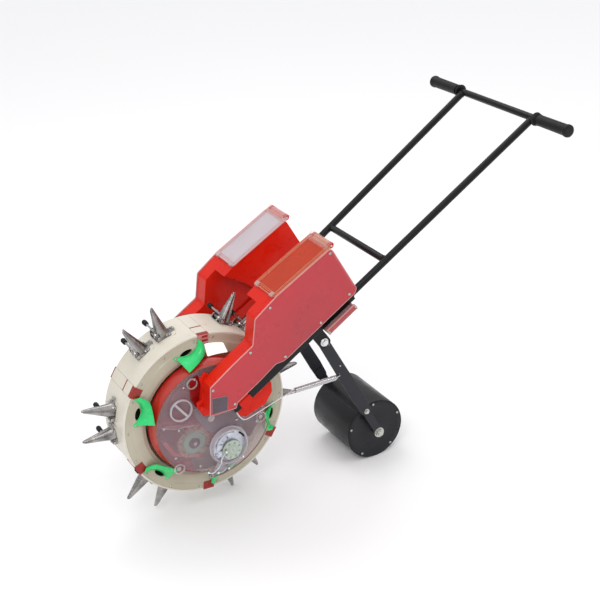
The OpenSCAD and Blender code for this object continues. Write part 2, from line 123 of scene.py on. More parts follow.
HOPPER = [(-24, 48), (-18, 109), (34, 143), (86, 175), (96, 234), (147, 270),
          (281, 342), (337, 236), (331, 228), (168, 131), (95, 95), (36, 60), (31, 47)]
PLATE = [(-27, 45), (-20, 111), (33, 146), (84, 177), (94, 235), (146, 272), (282, 345), (340, 235),
         (334, 224), (164, 123), (152, 118), (134, 117), (96, 91), (39, 57), (34, 44)]
SPOUT = [(-27, 46), (-16, 104), (-4, 118), (8, 108), (33, 100), (33, 44), (0, 40)]
PLATE_SCREWS = [(-15, 104), (77, 163), (130, 251), (278, 333), (320, 227), (247, 181), (157, 128), (31, 56)]
COVER_SCREWS = [(112, 120), (112, 172), (112, 215), (112, 250), (112, 105), (112, -22),
                (60, -20), (78, 180), (122, -102), (138, -40)]
BRACKET = [(46, 22), (58, -6), (74, -14), (124, 2), (142, 26), (142, 48), (116, 84), (92, 68), (66, 46)]
LID_FRONT, LID_REAR = Vector(HOPPER[5]), Vector(HOPPER[6])
LID_A = atan2(LID_REAR.y - LID_FRONT.y, LID_REAR.x - LID_FRONT.x)
LID_LEN = (LID_REAR - LID_FRONT).length
LID_PIN = LID_REAR + Vector((6, 3))
LID_W, LID_MID = 86.5, (-(LID_LEN - 1) / 2, 43.25)


# ---------------- frames ----------------
def side(x=0.0, z=0.0, d=0.0, turn=0.0):
    """Near-side frame: local X, Y are the side view and local Z is the depth, turned by `turn` degrees."""
    m = Matrix(((1, 0, 0, x), (0, 0, -1, -d), (0, 1, 0, z), (0, 0, 0, 1)))
    return m @ Matrix.Rotation(radians(turn), 4, "Z")


def along(p, q):
    """Frame at p whose local Z points to q."""
    p, q = Vector(p), Vector(q)
    return Matrix.Translation(p) @ (q - p).to_track_quat("Z", "Y").to_matrix().to_4x4()


def lying(x=0.0, z=0.0):
    """Frame at (x, 0, z) whose local Z runs along Y."""
    return Matrix(((1, 0, 0, x), (0, 0, 1, 0), (0, 1, 0, z), (0, 0, 0, 1)))


TUBE = (Matrix.Translation((0, -TUBE_Y, 0)) @ Matrix.Rotation(radians(-HANDLE_A), 4, "Y")
        @ Matrix.Rotation(radians(-SPLAY), 4, "Z"))


def beak_frame(a):
    return Matrix.Rotation(radians(-a), 4, "Y") @ Matrix.Translation((0, BEAK_Y, 0))


def near(x, d, z):
    return Vector((x, -d, z))


# ---------------- mesh building ----------------
class Part:
    """Vertices and faces in millimetres, with a material index on each face."""

    def __init__(self):
        self.v, self.f, self.m, self.mi = [], [], [], 0

    def use(self, i):
        self.mi = i
        return self

    def add(self, verts, faces, at=None):
        base = len(self.v)
        self.v += [(at @ Vector(p)) if at else Vector(p) for p in verts]
        self.f += [[i + base for i in f] for f in faces]
        self.m += [self.mi] * len(faces)
        return self

    def put(self, other, at=None, keep=False):
        base = len(self.v)
        self.v += [(at @ p) if at else p.copy() for p in other.v]
        self.f += [[i + base for i in f] for f in other.f]
        self.m += list(other.m) if keep else [self.mi] * len(other.f)
        return self

    def far(self):
        out = Part()
        out.v = [Vector((p.x, -p.y, p.z)) for p in self.v]
        out.f = [f[::-1] for f in self.f]
        out.m = list(self.m)
        return out

    def lathe(self, profile, at=None, n=64, a0=0.0, sweep=360.0, closed=True):
        """A profile of (radius, height) turned about local Z."""
        k, full = len(profile), abs(sweep) >= 360
        rings = n if full else n + 1
        verts = []
        for i in range(rings):
            a = radians(a0 + sweep * i / n)
            verts += [(r * cos(a), r * sin(a), h) for r, h in profile]
        faces = []
        for i in range(n):
            j = (i + 1) % rings
            for q in range(k if closed else k - 1):
                w = (q + 1) % k
                faces.append([i * k + q, j * k + q, j * k + w, i * k + w])
        if closed and not full:
            faces.append([q for q in range(k)][::-1])
            faces.append([(rings - 1) * k + q for q in range(k)])
        return self.add(verts, faces, at)

    def disc(self, profile, at=None, n=48):
        """A lathe whose profile starts and ends on the axis, left open there."""
        return self.lathe(profile, at, n, closed=False)

    def prism(self, pts, z0, z1, at=None):
        n = len(pts)
        verts = [(x, y, z0) for x, y in pts] + [(x, y, z1) for x, y in pts]
        faces = [[i, (i + 1) % n, n + (i + 1) % n, n + i] for i in range(n)]
        faces += [list(range(n))[::-1], list(range(n, 2 * n))]
        return self.add(verts, faces, at)

    def band(self, loops, at=None):
        """A closed band through four (height, outline) loops of equal length."""
        n = len(loops[0][1])
        verts = [(x, y, z) for z, outline in loops for x, y in outline]
        faces = [[a * n + i, a * n + (i + 1) % n, b * n + (i + 1) % n, b * n + i]
                 for a, b in ((0, 1), (1, 2), (2, 3), (3, 0)) for i in range(n)]
        return self.add(verts, faces, at)

    def box(self, lo, hi, at=None):
        (a, b, c), (d, e, f) = lo, hi
        return self.prism([(a, b), (d, b), (d, e), (a, e)], c, f, at)

    def sweep(self, pts, r, n=12, at=None, loop=False):
        """A round section of radius r, or one radius a point, carried along points without twisting."""
        pts = [Vector(p) for p in pts]
        count = len(pts)
        radii = r if isinstance(r, (list, tuple)) else [r] * count
        section = [(cos(tau * i / n), sin(tau * i / n)) for i in range(n)]
        tangents = []
        for i in range(count):
            a = pts[(i - 1) % count] if loop or i else pts[0]
            b = pts[(i + 1) % count] if loop or i < count - 1 else pts[-1]
            tangents.append((b - a).normalized())
        up = Vector((0, 0, 1)) if abs(tangents[0].z) < 0.9 else Vector((1, 0, 0))
        u = tangents[0].cross(up).normalized()
        verts = []
        for p, t, q in zip(pts, tangents, radii):
            u = (u - t * u.dot(t)).normalized()
            w = t.cross(u)
            verts += [p + u * (x * q) + w * (y * q) for x, y in section]
        faces = []
        for i in range(count if loop else count - 1):
            j = (i + 1) % count
            faces += [[i * n + k, j * n + k, j * n + (k + 1) % n, i * n + (k + 1) % n] for k in range(n)]
        if not loop:
            faces += [list(range(n))[::-1], [(count - 1) * n + k for k in range(n)]]
        return self.add(verts, faces, at)

    def rod(self, p, q, r, n=32):
        """A round bar from p to q with softened ends."""
        p, q = Vector(p), Vector(q)
        h = (q - p).length
        e = min(0.12 * r, 0.45 * h)
        profile = [(0, 0), (r - e, 0), (r - 0.3 * e, 0.3 * e), (r, e), (r, h - e),
                   (r - 0.3 * e, h - 0.3 * e), (r - e, h), (0, h)]
        return self.disc(profile, along(p, q), n)

    def shell(self, grid, t, at=None):
        """A sheet of thickness t whose outer face is the grid of points."""
        rows, cols = len(grid), len(grid[0])
        g = [[Vector(p) for p in row] for row in grid]

        def normal(i, j):
            a = g[min(i + 1, rows - 1)][j] - g[max(i - 1, 0)][j]
            b = g[i][min(j + 1, cols - 1)] - g[i][max(j - 1, 0)]
            c = a.cross(b)
            return c.normalized() if c.length > 1e-9 else Vector((0, 0, 0))

        outer = [p for row in g for p in row]
        inner = [g[i][j] - normal(i, j) * t for i in range(rows) for j in range(cols)]
        k = rows * cols
        faces = []
        for i in range(rows - 1):
            for j in range(cols - 1):
                a, b, c, d = i * cols + j, (i + 1) * cols + j, (i + 1) * cols + j + 1, i * cols + j + 1
                faces += [[a, b, c, d], [k + d, k + c, k + b, k + a]]
        ring = ([(0, j) for j in range(cols - 1)] + [(i, cols - 1) for i in range(rows - 1)]
                + [(rows - 1, j) for j in range(cols - 1, 0, -1)] + [(i, 0) for i in range(rows - 1, 0, -1)])
        ids = [i * cols + j for i, j in ring]
        for a, b in zip(ids, ids[1:] + ids[:1]):
            faces.append([a, b, k + b, k + a])
        return self.add(outer + inner, faces, at)


def to_bmesh(part):
    """The part as a clean bmesh, in millimetres."""
    bm = bmesh.new()
    verts = [bm.verts.new(p) for p in part.v]
    for f, m in zip(part.f, part.m):
        loop = list(dict.fromkeys(f))
        if len(loop) < 3:
            continue
        try:
            face = bm.faces.new([verts[i] for i in loop])
            face.material_index = m
        except ValueError:
            pass
    bmesh.ops.remove_doubles(bm, verts=bm.verts, dist=0.004)
    bmesh.ops.dissolve_degenerate(bm, edges=bm.edges, dist=0.002)
    bmesh.ops.recalc_face_normals(bm, faces=bm.faces)
    return bm


def cut(part, *cutters):
    """The part with each cutter's volume taken away."""
    for cutter in cutters:
        objs = []
        for p in (part, cutter):
            bm = to_bmesh(p)
            me = bpy.data.meshes.new("tmp")
            bm.to_mesh(me)
            bm.free()
            o = bpy.data.objects.new("tmp", me)
            bpy.context.scene.collection.objects.link(o)
            for _ in range(4):
                me.materials.append(None)
            objs.append(o)
        mod = objs[0].modifiers.new("b", "BOOLEAN")
        mod.operation, mod.object, mod.solver = "DIFFERENCE", objs[1], "EXACT"
        bpy.context.view_layer.update()
        done = objs[0].evaluated_get(bpy.context.evaluated_depsgraph_get())
        me = bpy.data.meshes.new_from_object(done)
        out = Part()
        out.v = [v.co.copy() for v in me.vertices]
        out.f = [list(p.vertices) for p in me.polygons]
        out.m = [p.material_index for p in me.polygons]
        for o in objs:
            bpy.data.objects.remove(o)
        part = out
    return part


def build(name, part, mats, body, slot=None, nodes=(), bevel=0.0, seg=2, sharp=35, angle=35, clamp=False):
    """One visible piece on a body: its bevel in mm, and the CAD nodes that it stands in for."""
    bm = to_bmesh(part)
    bm.transform(TO_ROW)
    limit = radians(sharp)
    for e in bm.edges:
        e.smooth = not (len(e.link_faces) != 2 or e.calc_face_angle(0) > limit)
    for f in bm.faces:
        f.smooth = True
    me = bpy.data.meshes.new(name)
    bm.to_mesh(me)
    bm.free()
    for m in mats if isinstance(mats, (list, tuple)) else [mats]:
        me.materials.append(m)
    o = bpy.data.objects.new(name, me)
    bpy.context.scene.collection.objects.link(o)
    if bevel:
        for e in me.edges:
            e.use_edge_sharp = False
        mod = o.modifiers.new("edge", "BEVEL")
        mod.width, mod.segments, mod.limit_method = bevel / 1000, seg, "ANGLE"
        mod.angle_limit, mod.use_clamp_overlap = radians(angle), clamp
        mod.miter_outer = "MITER_ARC"
        mod.material = -1
        even = o.modifiers.new("normals", "WEIGHTED_NORMAL")
        even.keep_sharp = True
    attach(o, body)
    if nodes:
        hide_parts(*nodes)
    return o


def both(name, make, mats, slot, body="root", nodes=True, **kw):
    """A near and a far copy; body and node names take the side's suffix when they end in an underscore."""
    part = make()
    for tag, p in (("near", part), ("far", part.far())):
        b = body + tag if body.endswith("_") else body
        n = () if not nodes else [f"{name}_{tag}"] if nodes is True else nodes if tag == "near" else ()
        build(f"{name}_{tag}" if nodes is not True else f"v_{name}_{tag}", p, mats, b, slot, n, **kw)


def fillet(pts, r, n=5):
    """The outline with each corner rounded; r may be one number or one per corner."""
    out, count = [], len(pts)
    for i in range(count):
        a, p, b = Vector(pts[i - 1]), Vector(pts[i]), Vector(pts[(i + 1) % count])
        u, w = (a - p).normalized(), (b - p).normalized()
        radius = r[i] if isinstance(r, (list, tuple)) else r
        half = u.angle(w) / 2
        if radius < 0.05 or half > 1.53:
            out.append((p.x, p.y))
            continue
        t = min(radius / max(0.05, abs(sin(half) / cos(half))), 0.45 * (a - p).length, 0.45 * (b - p).length)
        s, e = p + u * t, p + w * t
        for k in range(n + 1):
            q = k / n
            m = s * (1 - q) ** 2 + p * (2 * q * (1 - q)) + e * q * q
            out.append((m.x, m.y))
    return out


def inset(pts, d):
    out, n = [], len(pts)
    area = sum(pts[i - 1][0] * pts[i][1] - pts[i][0] * pts[i - 1][1] for i in range(n))
    s = -1 if area < 0 else 1
    for i in range(n):
        a, p, b = Vector(pts[i - 1]), Vector(pts[i]), Vector(pts[(i + 1) % n])
        u, w = (p - a).normalized(), (b - p).normalized()
        m, k = Vector((-u.y, u.x)) * s, Vector((-w.y, w.x)) * s
        q = p + (m + k) * (d / (1 + m.dot(k)))
        out.append((q.x, q.y))
    return out


def rounded(w, h, r, n=5, cx=0.0, cy=0.0):
    return fillet([(cx - w / 2, cy - h / 2), (cx + w / 2, cy - h / 2),
                   (cx + w / 2, cy + h / 2), (cx - w / 2, cy + h / 2)], r, n)


def circle(r, n=32, cx=0.0, cy=0.0, ry=None):
    ry = ry or r
    return [(cx + r * cos(tau * i / n), cy + ry * sin(tau * i / n)) for i in range(n)]


def lerp(a, b, t):
    return a + (b - a) * t


# ---------------- screws ----------------
def pan_head():
    head = Part().disc([(0, 0), (1, 0), (1, 0.12), (0.97, 0.3), (0.86, 0.46), (0.62, 0.58), (0.3, 0.63),
                        (0, 0.64)], n=24)
    head.f.append(list(range(0, 24 * 8, 8))[::-1])
    head.m.append(0)
    slots = (Part().box((-0.6, -0.11, 0.32), (0.6, 0.11, 1.0)),
             Part().box((-0.11, -0.6, 0.3), (0.11, 0.6, 1.0)))
    return cut(scaled(head, 10), *(scaled(slot, 10) for slot in slots))


def scaled(part, s):
    return Part().put(part, Matrix.Diagonal((s, s, s, 1)))


def hex_head():
    p = Part()
    p.prism(circle(10, 6), 2, 8)
    p.disc([(0, 0), (12.5, 0), (13, 0.5), (13, 1.5), (12.5, 2), (0, 2)], n=28)
    p.disc([(0, 8), (8.2, 8), (8.0, 8.6), (0, 8.6)], n=28)
    return p


PAN = pan_head()
HEX = hex_head()


def screw(part, at, r, kind=None):
    """A head of radius r, turned at random, standing on the local XY plane of the frame `at`."""
    spin = rng.uniform(0, 90)
    s = r / 10
    part.put(kind or PAN, at @ Matrix.Rotation(radians(spin), 4, "Z") @ Matrix.Diagonal((s, s, s, 1)))


# ---------------- materials ----------------
WEAR_AT, BUMP_DEPTH = 0.56, 0.0002


def material(name, colour, rough=0.4, metal=0.0, alpha=1.0, coat=0.0, spec=0.5, vary=0.06, mottle=14.0,
             grain=900.0, bump=0.15, stretch=(1, 1, 1), rough_vary=0.08, wear=None, second=None, glow=0.0):
    """Principled surface with colour variation, uneven gloss, fine bump and, with `wear`, rubbed edges."""
    m = bpy.data.materials.new(name)
    m.use_nodes = True
    nt = m.node_tree
    nd, link = nt.nodes, nt.links.new
    bsdf = nd["Principled BSDF"]
    for key, value in (("Metallic", metal), ("Alpha", alpha), ("Coat Weight", coat), ("Coat Roughness", 0.12),
                       ("Specular IOR Level", spec), ("IOR", 1.46), ("Emission Strength", glow)):
        bsdf.inputs[key].default_value = value
    coord = nd.new("ShaderNodeTexCoord")
    mapping = nd.new("ShaderNodeMapping")
    mapping.inputs["Scale"].default_value = stretch
    link(coord.outputs["Object"], mapping.inputs["Vector"])

    def noise(scale, detail, roughness=0.55):
        n = nd.new("ShaderNodeTexNoise")
        n.inputs["Scale"].default_value = scale
        n.inputs["Detail"].default_value = detail
        n.inputs["Roughness"].default_value = roughness
        link(mapping.outputs["Vector"], n.inputs["Vector"])
        return n.outputs["Fac"]

    def shade(c, k):
        return tuple(min(1.0, max(0.0, x * k)) for x in c) + (1.0,)

    def mix(fac, a, b):
        n = nd.new("ShaderNodeMix")
        n.data_type = "RGBA"
        for socket, value in ((n.inputs[0], fac), (n.inputs[6], a), (n.inputs[7], b)):
            if isinstance(value, bpy.types.NodeSocket):
                link(value, socket)
            else:
                socket.default_value = value
        return n.outputs[2]

    def ramp(fac, a, b):
        n = nd.new("ShaderNodeMapRange")
        n.inputs["From Min"].default_value, n.inputs["From Max"].default_value = a, b
        link(fac, n.inputs["Value"])
        return n.outputs["Result"]

    broad = noise(mottle, 4.0)
    fine = noise(grain, 2.0)
    colour_out = mix(ramp(broad, 0.3, 0.7), shade(colour, 1 - vary), shade(second or colour, 1 + vary))
    if wear:
        geo = nd.new("ShaderNodeNewGeometry")
        rub = nd.new("ShaderNodeMath")
        rub.operation = "MULTIPLY"
        link(ramp(geo.outputs["Pointiness"], WEAR_AT, WEAR_AT + 0.08), rub.inputs[0])
        link(ramp(noise(mottle * 9, 5.0, 0.7), 0.42, 0.62), rub.inputs[1])
        colour_out = mix(rub.outputs[0], colour_out, shade(wear, 1))
    link(colour_out, bsdf.inputs["Base Color"])
    gloss = nd.new("ShaderNodeMapRange")
    gloss.inputs["From Min"].default_value, gloss.inputs["From Max"].default_value = 0.3, 0.7
    gloss.inputs["To Min"].default_value = max(0.02, rough - rough_vary)
    gloss.inputs["To Max"].default_value = min(1.0, rough + rough_vary)
    link(noise(mottle * 4, 6.0, 0.65), gloss.inputs["Value"])
    link(gloss.outputs["Result"], bsdf.inputs["Roughness"])
    height = nd.new("ShaderNodeBump")
    height.inputs["Strength"].default_value, height.inputs["Distance"].default_value = bump, BUMP_DEPTH
    link(fine, height.inputs["Height"])
    link(height.outputs["Normal"], bsdf.inputs["Normal"])
    return m


M = {
    "paint": material("black_paint", (0.006, 0.006, 0.007), 0.3, spec=0.28, wear=(0.06, 0.06, 0.065),
                      grain=1400, bump=0.1),
    "grip": material("grip_rubber", (0.008, 0.008, 0.009), 0.5, spec=0.3, grain=2200, bump=0.35, vary=0.2),
    "steel": material("bright_steel", (0.70, 0.70, 0.71), 0.24, metal=1.0, grain=600, bump=0.08, vary=0.08),
    "screw": material("zinc_screw", (0.56, 0.56, 0.55), 0.26, metal=1.0, grain=900, bump=0.1,
                      second=(0.50, 0.51, 0.47)),
    "beak": material("beak_steel", (0.21, 0.20, 0.195), 0.27, metal=1.0, mottle=45, vary=0.22, grain=420,
                     bump=0.04,
                     second=(0.36, 0.345, 0.33), stretch=(1, 0.5, 1), rough_vary=0.1,
                     wear=(0.55, 0.54, 0.52)),
    "beak_edge": material("beak_edge", (0.46, 0.45, 0.44), 0.3, metal=1.0, grain=700, bump=0.08),
    "cap": material("rubber_cap", (0.007, 0.007, 0.007), 0.5, spec=0.35, grain=1800, bump=0.3, vary=0.25),
    "red": material("red_plastic", (0.63, 0.011, 0.0025), 0.3, spec=0.22, mottle=10, vary=0.04, grain=1500,
                    bump=0.08,
                    second=(0.67, 0.016, 0.004), wear=(0.76, 0.05, 0.02)),
    "red_dark": material("chute_red", (0.24, 0.004, 0.004), 0.3, spec=0.3, vary=0.1),
    "hub": material("hub_red", (0.42, 0.014, 0.008), 0.16, spec=0.5, coat=0.5, mottle=16, vary=0.06,
                    grain=1500, bump=0.05,
                    second=(0.48, 0.020, 0.010)),
    "plate": material("frosted_plate", (0.56, 0.088, 0.105), 0.3, spec=0.3, alpha=0.66, mottle=3.5, vary=0.05,
                      grain=1800,
                      bump=0.1, second=(0.70, 0.070, 0.085)),
    "plate_edge": material("plate_edge", (0.72, 0.32, 0.31), 0.25, spec=0.3, alpha=0.85, vary=0.04),
    "window": material("smoked_window", (0.115, 0.085, 0.105), 0.3, spec=0.25, vary=0.08),
    "cover": material("clear_cover", (0.46, 0.36, 0.40), 0.1, spec=0.35, alpha=0.24, mottle=9, vary=0.06,
                      grain=1500,
                      bump=0.03, second=(0.50, 0.38, 0.42), rough_vary=0.04),
    "cover_edge": material("amber_edge", (0.24, 0.07, 0.02), 0.2, alpha=0.9, vary=0.15),
    "clear": material("clear_boss", (0.66, 0.58, 0.58), 0.12, alpha=0.4, vary=0.04, rough_vary=0.04),
    "lid": material("clear_lid", (0.60, 0.055, 0.018), 0.14, spec=0.3, alpha=0.62, mottle=12, vary=0.05,
                    rough_vary=0.04,
                    bump=0.015),
    "lid_line": material("lid_border", (0.72, 0.34, 0.20), 0.16, alpha=0.75, vary=0.05, bump=0.015),
    "lid_white": material("clear_lid_pale", (0.70, 0.62, 0.65), 0.16, alpha=0.55, mottle=12, vary=0.04,
                          rough_vary=0.04,
                          bump=0.015),
    "hood": material("clear_hood", (0.78, 0.42, 0.38), 0.1, spec=0.5, alpha=0.2, vary=0.04, rough_vary=0.04,
                     bump=0.015),
    "liner": material("tinted_liner", (0.56, 0.045, 0.016), 0.3, spec=0.3, mottle=9, vary=0.06, grain=1200,
                      bump=0.02),
    # painted shade and red bounce light from the hopper that overhangs the side disc
    "tint": material("painted_shade_red_bounce", (0.36, 0.135, 0.075), 0.3, spec=0.3, alpha=0.5, mottle=9, vary=0.06,
                     bump=0.03),
    "film": material("pale_liner", (0.60, 0.56, 0.61), 0.4, mottle=20, vary=0.04, grain=1200, bump=0.15),
    "cream": material("cream_plastic", (0.66, 0.615, 0.52), 0.34, spec=0.35, mottle=11, vary=0.04, grain=1100,
                      bump=0.1,
                      second=(0.69, 0.65, 0.56), wear=(0.76, 0.73, 0.66)),
    "beige": material("beige_plastic", (0.47, 0.42, 0.31), 0.2, alpha=0.9, coat=0.3, mottle=9, vary=0.05,
                      grain=1200,
                      bump=0.05, second=(0.53, 0.48, 0.375)),
    "green": material("green_plastic", (0.018, 0.56, 0.135), 0.26, coat=0.2, spec=0.35, mottle=22, vary=0.08,
                      grain=1100,
                      bump=0.08, second=(0.03, 0.62, 0.18)),
    # painted shade: near-black green for the shadowed inside of the bowls behind the disc's windows
    "green_painted_shade": material("shaded_green", (0.006, 0.02, 0.01), 0.4, spec=0.2, vary=0.2),
    "dark": material("dark_slot", (0.006, 0.006, 0.007), 0.5, spec=0.2, vary=0.2),
    "milk": material("milky_clear", (0.60, 0.56, 0.60), 0.16, alpha=0.66, mottle=24, vary=0.05, coat=0.3),
    "silver": material("silver_liner", (0.50, 0.53, 0.60), 0.2, metal=0.55, mottle=38, vary=0.2, grain=500,
                       bump=0.25,
                       second=(0.66, 0.69, 0.76)),
    "pale_green": material("pale_green", (0.44, 0.50, 0.43), 0.28, mottle=30, vary=0.06),
    "green_hub": material("grey_green", (0.19, 0.40, 0.30), 0.35, mottle=40, vary=0.1),
    "bristle": material("bristle", (0.48, 0.36, 0.20), 0.6, mottle=150, vary=0.35, second=(0.62, 0.50, 0.32)),
    "roller": material("roller_paint", (0.012, 0.0125, 0.015), 0.36, spec=0.3, mottle=8, vary=0.12, grain=700,
                       bump=0.15,
                       wear=(0.05, 0.05, 0.055), rough_vary=0.12),
    "arm": material("arm_paint", (0.022, 0.023, 0.028), 0.42, spec=0.3, mottle=12, vary=0.1, grain=900,
                    bump=0.15,
                    wear=(0.09, 0.09, 0.1)),
    "block": material("block_red", (0.30, 0.028, 0.022), 0.3, spec=0.35, vary=0.07),
    "block_pink": material("block_pink", (0.60, 0.24, 0.23), 0.24, coat=0.2, vary=0.06),
    "rod_red": material("tinted_bar", (0.42, 0.12, 0.13), 0.2, alpha=0.7, vary=0.08),
    # painted light: this white glows through its emission, though it is no lamp
    "white": material("white_insert_painted_glow", (0.95, 0.95, 0.95), 0.5, vary=0.01, grain=1300, bump=0.05, glow=0.75),
    "grey": material("grey_seal", (0.13, 0.125, 0.145), 0.5, mottle=18, vary=0.12, grain=900, bump=0.2),
    "guard": material("guard_clear", (0.50, 0.10, 0.11), 0.16, spec=0.3, alpha=0.72, vary=0.06),
}


# ---------------- handle and frame ----------------
def tube_point(s, y=0.0, z=0.0):
    return TUBE @ Vector((s, y, z))


def weld(part, centre, axis, r, seed):
    """A ripply bead around a tube joint."""
    n, bead = 40, 1.5
    frame_ = along(centre, Vector(centre) + Vector(axis))
    r_ = random.Random(seed)
    pts = [frame_ @ Vector((r * cos(tau * i / n), r * sin(tau * i / n), 0)) for i in range(n)]
    part.sweep(pts, [bead * (1 + 0.18 * sin(i * 2.6) + r_.uniform(-0.1, 0.1)) for i in range(n)], 8,
               loop=True)


bar = Part()
bar.rod(near(BAR[0], BAR_HALF, BAR[1]), near(BAR[0], -BAR_HALF, BAR[1]), TUBE_R, 48)
build("v_grip_bar", bar, M["paint"], "root", "black_paint", ["grip_bar"])


def handle_tube():
    p = Part()
    p.sweep([tube_point(352), tube_point(620), tube_point(BAR_S - 5)], TUBE_R, 48)
    weld(p, tube_point(BAR_S - 8.4), tube_point(1) - tube_point(0), TUBE_R - 0.4, seed=3)
    return p


both("tube", handle_tube, M["paint"], "black_paint")
cross = Part()
c0 = Vector((CROSS_S * _c, 0, CROSS_S * _s))
half = TUBE_Y + CROSS_S * sin(radians(SPLAY)) - 5
cross.rod(c0 + Vector((0, -half, 0)), c0 + Vector((0, half, 0)), TUBE_R, 48)
for sgn in (-1, 1):
    weld(cross, c0 + Vector((0, sgn * (half - 3.6), 0)), (0, 1, 0), TUBE_R - 0.5, seed=5)
build("v_cross_tube", cross, M["paint"], "root", "black_paint", ["cross_tube"])


def grip():
    p = Part()
    prof = [(8.05, 136.4), (12, 136.2), (14.8, 136.5), (15.4, 137.6), (15.4, 138.6), (14.6, 139.8),
            (13.2, 140.6),
            (12.5, 142), (12.4, 147), (12.6, 170), (12.75, 200), (12.9, 228), (13.1, 236), (13.9, 238.4),
            (14.3, 240), (14.3, 243.5), (13.6, 245.8), (12.2, 246.8), (8, 247), (0, 247)]
    p.disc(prof, side(BAR[0], BAR[1]), 64)
    for k in range(5):
        p.lathe([(12.9, 141.9 + 1.6 * k), (13.2, 142.3 + 1.6 * k), (12.9, 142.7 + 1.6 * k),
                 (12.2, 142.3 + 1.6 * k)],
                side(BAR[0], BAR[1]), 64)
    return p


both("grip", grip, M["grip"], "grip_rubber")


def rail():
    p = Part()
    hw, hh, t = 9.5, 11.5, 2.0
    outer = rounded(2 * hw, 2 * hh, 2.6, 5)
    inner = rounded(2 * (hw - t), 2 * (hh - t), 1.4, 5)
    frame_ = TUBE @ Matrix(((0, 0, 1, 0), (1, 0, 0, 0), (0, 1, 0, 0), (0, 0, 0, 1)))
    p.band([(46, inner), (46, outer), (400, outer), (400, inner)], frame_)
    # collar where the round tube leaves the rail
    p.lathe([(8.05, 397), (9.3, 397), (9.3, 401.5), (8.8, 402.4), (8.05, 402.4)], frame_, 40)
    ear = fillet([(274.5, -62), (303.5, -62), (303.5, -6), (274.5, -6)], [12, 12, 1, 1], 7)
    rot = Matrix.Rotation(radians(-HANDLE_A), 4, "Y") @ side(0, 0, 103)
    e = Part().prism(ear, 0, 5)
    e = cut(e, Part().prism(circle(5.0, 40, 289, -48), -1, 6))
    p.put(e, rot)
    return p


both("rail", rail, M["paint"], "black_paint", bevel=0.5, clamp=True)


# ---------------- hub ----------------
def hub_housing():
    p = Part()
    outer = [(104, 12), (116, 24), (126, 36), (131.5, 43), (133.6, 47), (134.9, 51), (135.2, 55), (134.9, 60),
             (134, 65),
             (132.4, 70), (130.2, 75), (128, 79), (127.4, 80)]
    inner = [(125, 80), (126.6, 75), (129, 70), (131, 64), (132.1, 57), (131.6, 51), (129.8, 46), (124, 38),
             (113, 25.5), (102, 15)]
    p.lathe(outer + inner, side(), 150, 18, 234)
    p.lathe([(8, 12), (104, 12), (104, 15), (8, 15)], side(), 96)
    p.lathe([(129.6, 70.6), (131.4, 70.8), (131.0, 72.6), (129.0, 73)], side(), 150, 20, 230)
    for r_ in (40, 72):
        p.lathe([(r_, 15), (r_ + 2, 15), (r_ + 2, 19), (r_, 19)], side(), 72)
    for a in range(20, 260, 30):
        q = side(turn=a)
        p.prism([(24, -1.2), (100, -1.2), (124, -1.0), (124, 1.0), (100, 1.2), (24, 1.2)], 15, 20, q)
    return p


both("hub_housing", hub_housing, M["hub"], "hub_red", bevel=0)


def hub_inside():
    """Seals, partitions and the drain tray seen through the clear cover."""
    p = Part()
    p.use(0).prism(fillet([(-34, 26), (-6, 40), (40, 44), (84, 10), (78, -50), (20, -56), (-12, -30),
                           (-30, 6)], 10, 5), 66, 68, side())
    p.use(1).prism(fillet([(-42, 112), (-22, 118), (-14, 70), (-24, 40), (-34, 42), (-44, 66)], 5, 5),
                   COVER_D + WALL + 0.1, COVER_D + WALL + 0.8, side())
    p.use(2).prism(fillet([(-26, -96), (-92, -70), (-112, -30), (-104, -26), (-84, -64), (-24, -88)], 3, 4),
                   30, 66, side())
    p.use(2).prism(fillet([(-110, 26), (-30, 2), (-31, -2), (-111, 20)], 1.5, 3), 24, 70, side())
    return p


both("hub_inside", hub_inside, [M["grey"], M["red_dark"], M["hub"]], "hub_red", nodes=False, bevel=0.4)


def cover_plate():
    """Outline of the clear cover, which swells over the metering case."""
    outline = [polar(COVER_R, a) for a in range(-20, 261, 3)] + [polar(COVER_R, -100)]
    for a in range(-99, -20, 2):
        k = min(1.0, (a + 101) / 5, (-19 - a) / 5)
        outline.append(polar(lerp(COVER_R, 146, k), a))
    return outline


def hub_cover():
    p = Part().prism(cover_plate(), COVER_D, COVER_D + WALL, side())
    p = cut(p, Part().prism(inset(SPOUT, WALL), COVER_D - 1, COVER_D + WALL + 1, side()),
               Part().prism(circle(PLUG_R - 3, 64, *PLUG_C), COVER_D - 1, COVER_D + WALL + 1, side()),
               Part().prism(circle(4.3, 32, *METER_C), COVER_D - 1, COVER_D + WALL + 1, side()))
    # bead around the edge
    rim = [(x * 0.994, y * 0.994) for x, y in cover_plate()]
    p.use(1).sweep([near(x, COVER_D + 1.4, y) for x, y in rim], 1.25, 8, loop=True)
    # moulded screw bosses
    p.use(2)
    for x, z in ((-87, -93), (115, -34), (-37, 101)):
        p.lathe([(9.5, COVER_D + 3), (12.5, COVER_D + 3), (12.3, COVER_D + 6.2), (11.2, COVER_D + 6.8),
                 (9.8, COVER_D + 6.2)],
                side(x, z), 48)
        p.disc([(0, COVER_D + 3.4), (4.5, COVER_D + 3.4), (4.8, COVER_D + 3.1), (0, COVER_D + 3.05)],
               side(x, z), 32)
    # reinforcing strip from the screw at the left to the brush boss
    p.use(3).sweep([near(-112, COVER_D - 3, 17), near(-60, COVER_D - 3, 3), near(-26, COVER_D - 3, -6)], 3.0,
                   12)
    p.use(3).lathe([(3, COVER_D - 6), (8.5, COVER_D - 6), (8.5, COVER_D - 1), (3, COVER_D - 1)],
                   side(-48, -1), 28)
    p.use(2).sweep([near(-116, COVER_D + 3.2, 19), near(-84, COVER_D + 3.4, 6), near(-44, COVER_D + 3.2, 1)],
                   0.9, 8)
    return p


both("hub_cover", hub_cover, [M["cover"], M["cover_edge"], M["clear"], M["rod_red"]], "clear_cover", bevel=0)


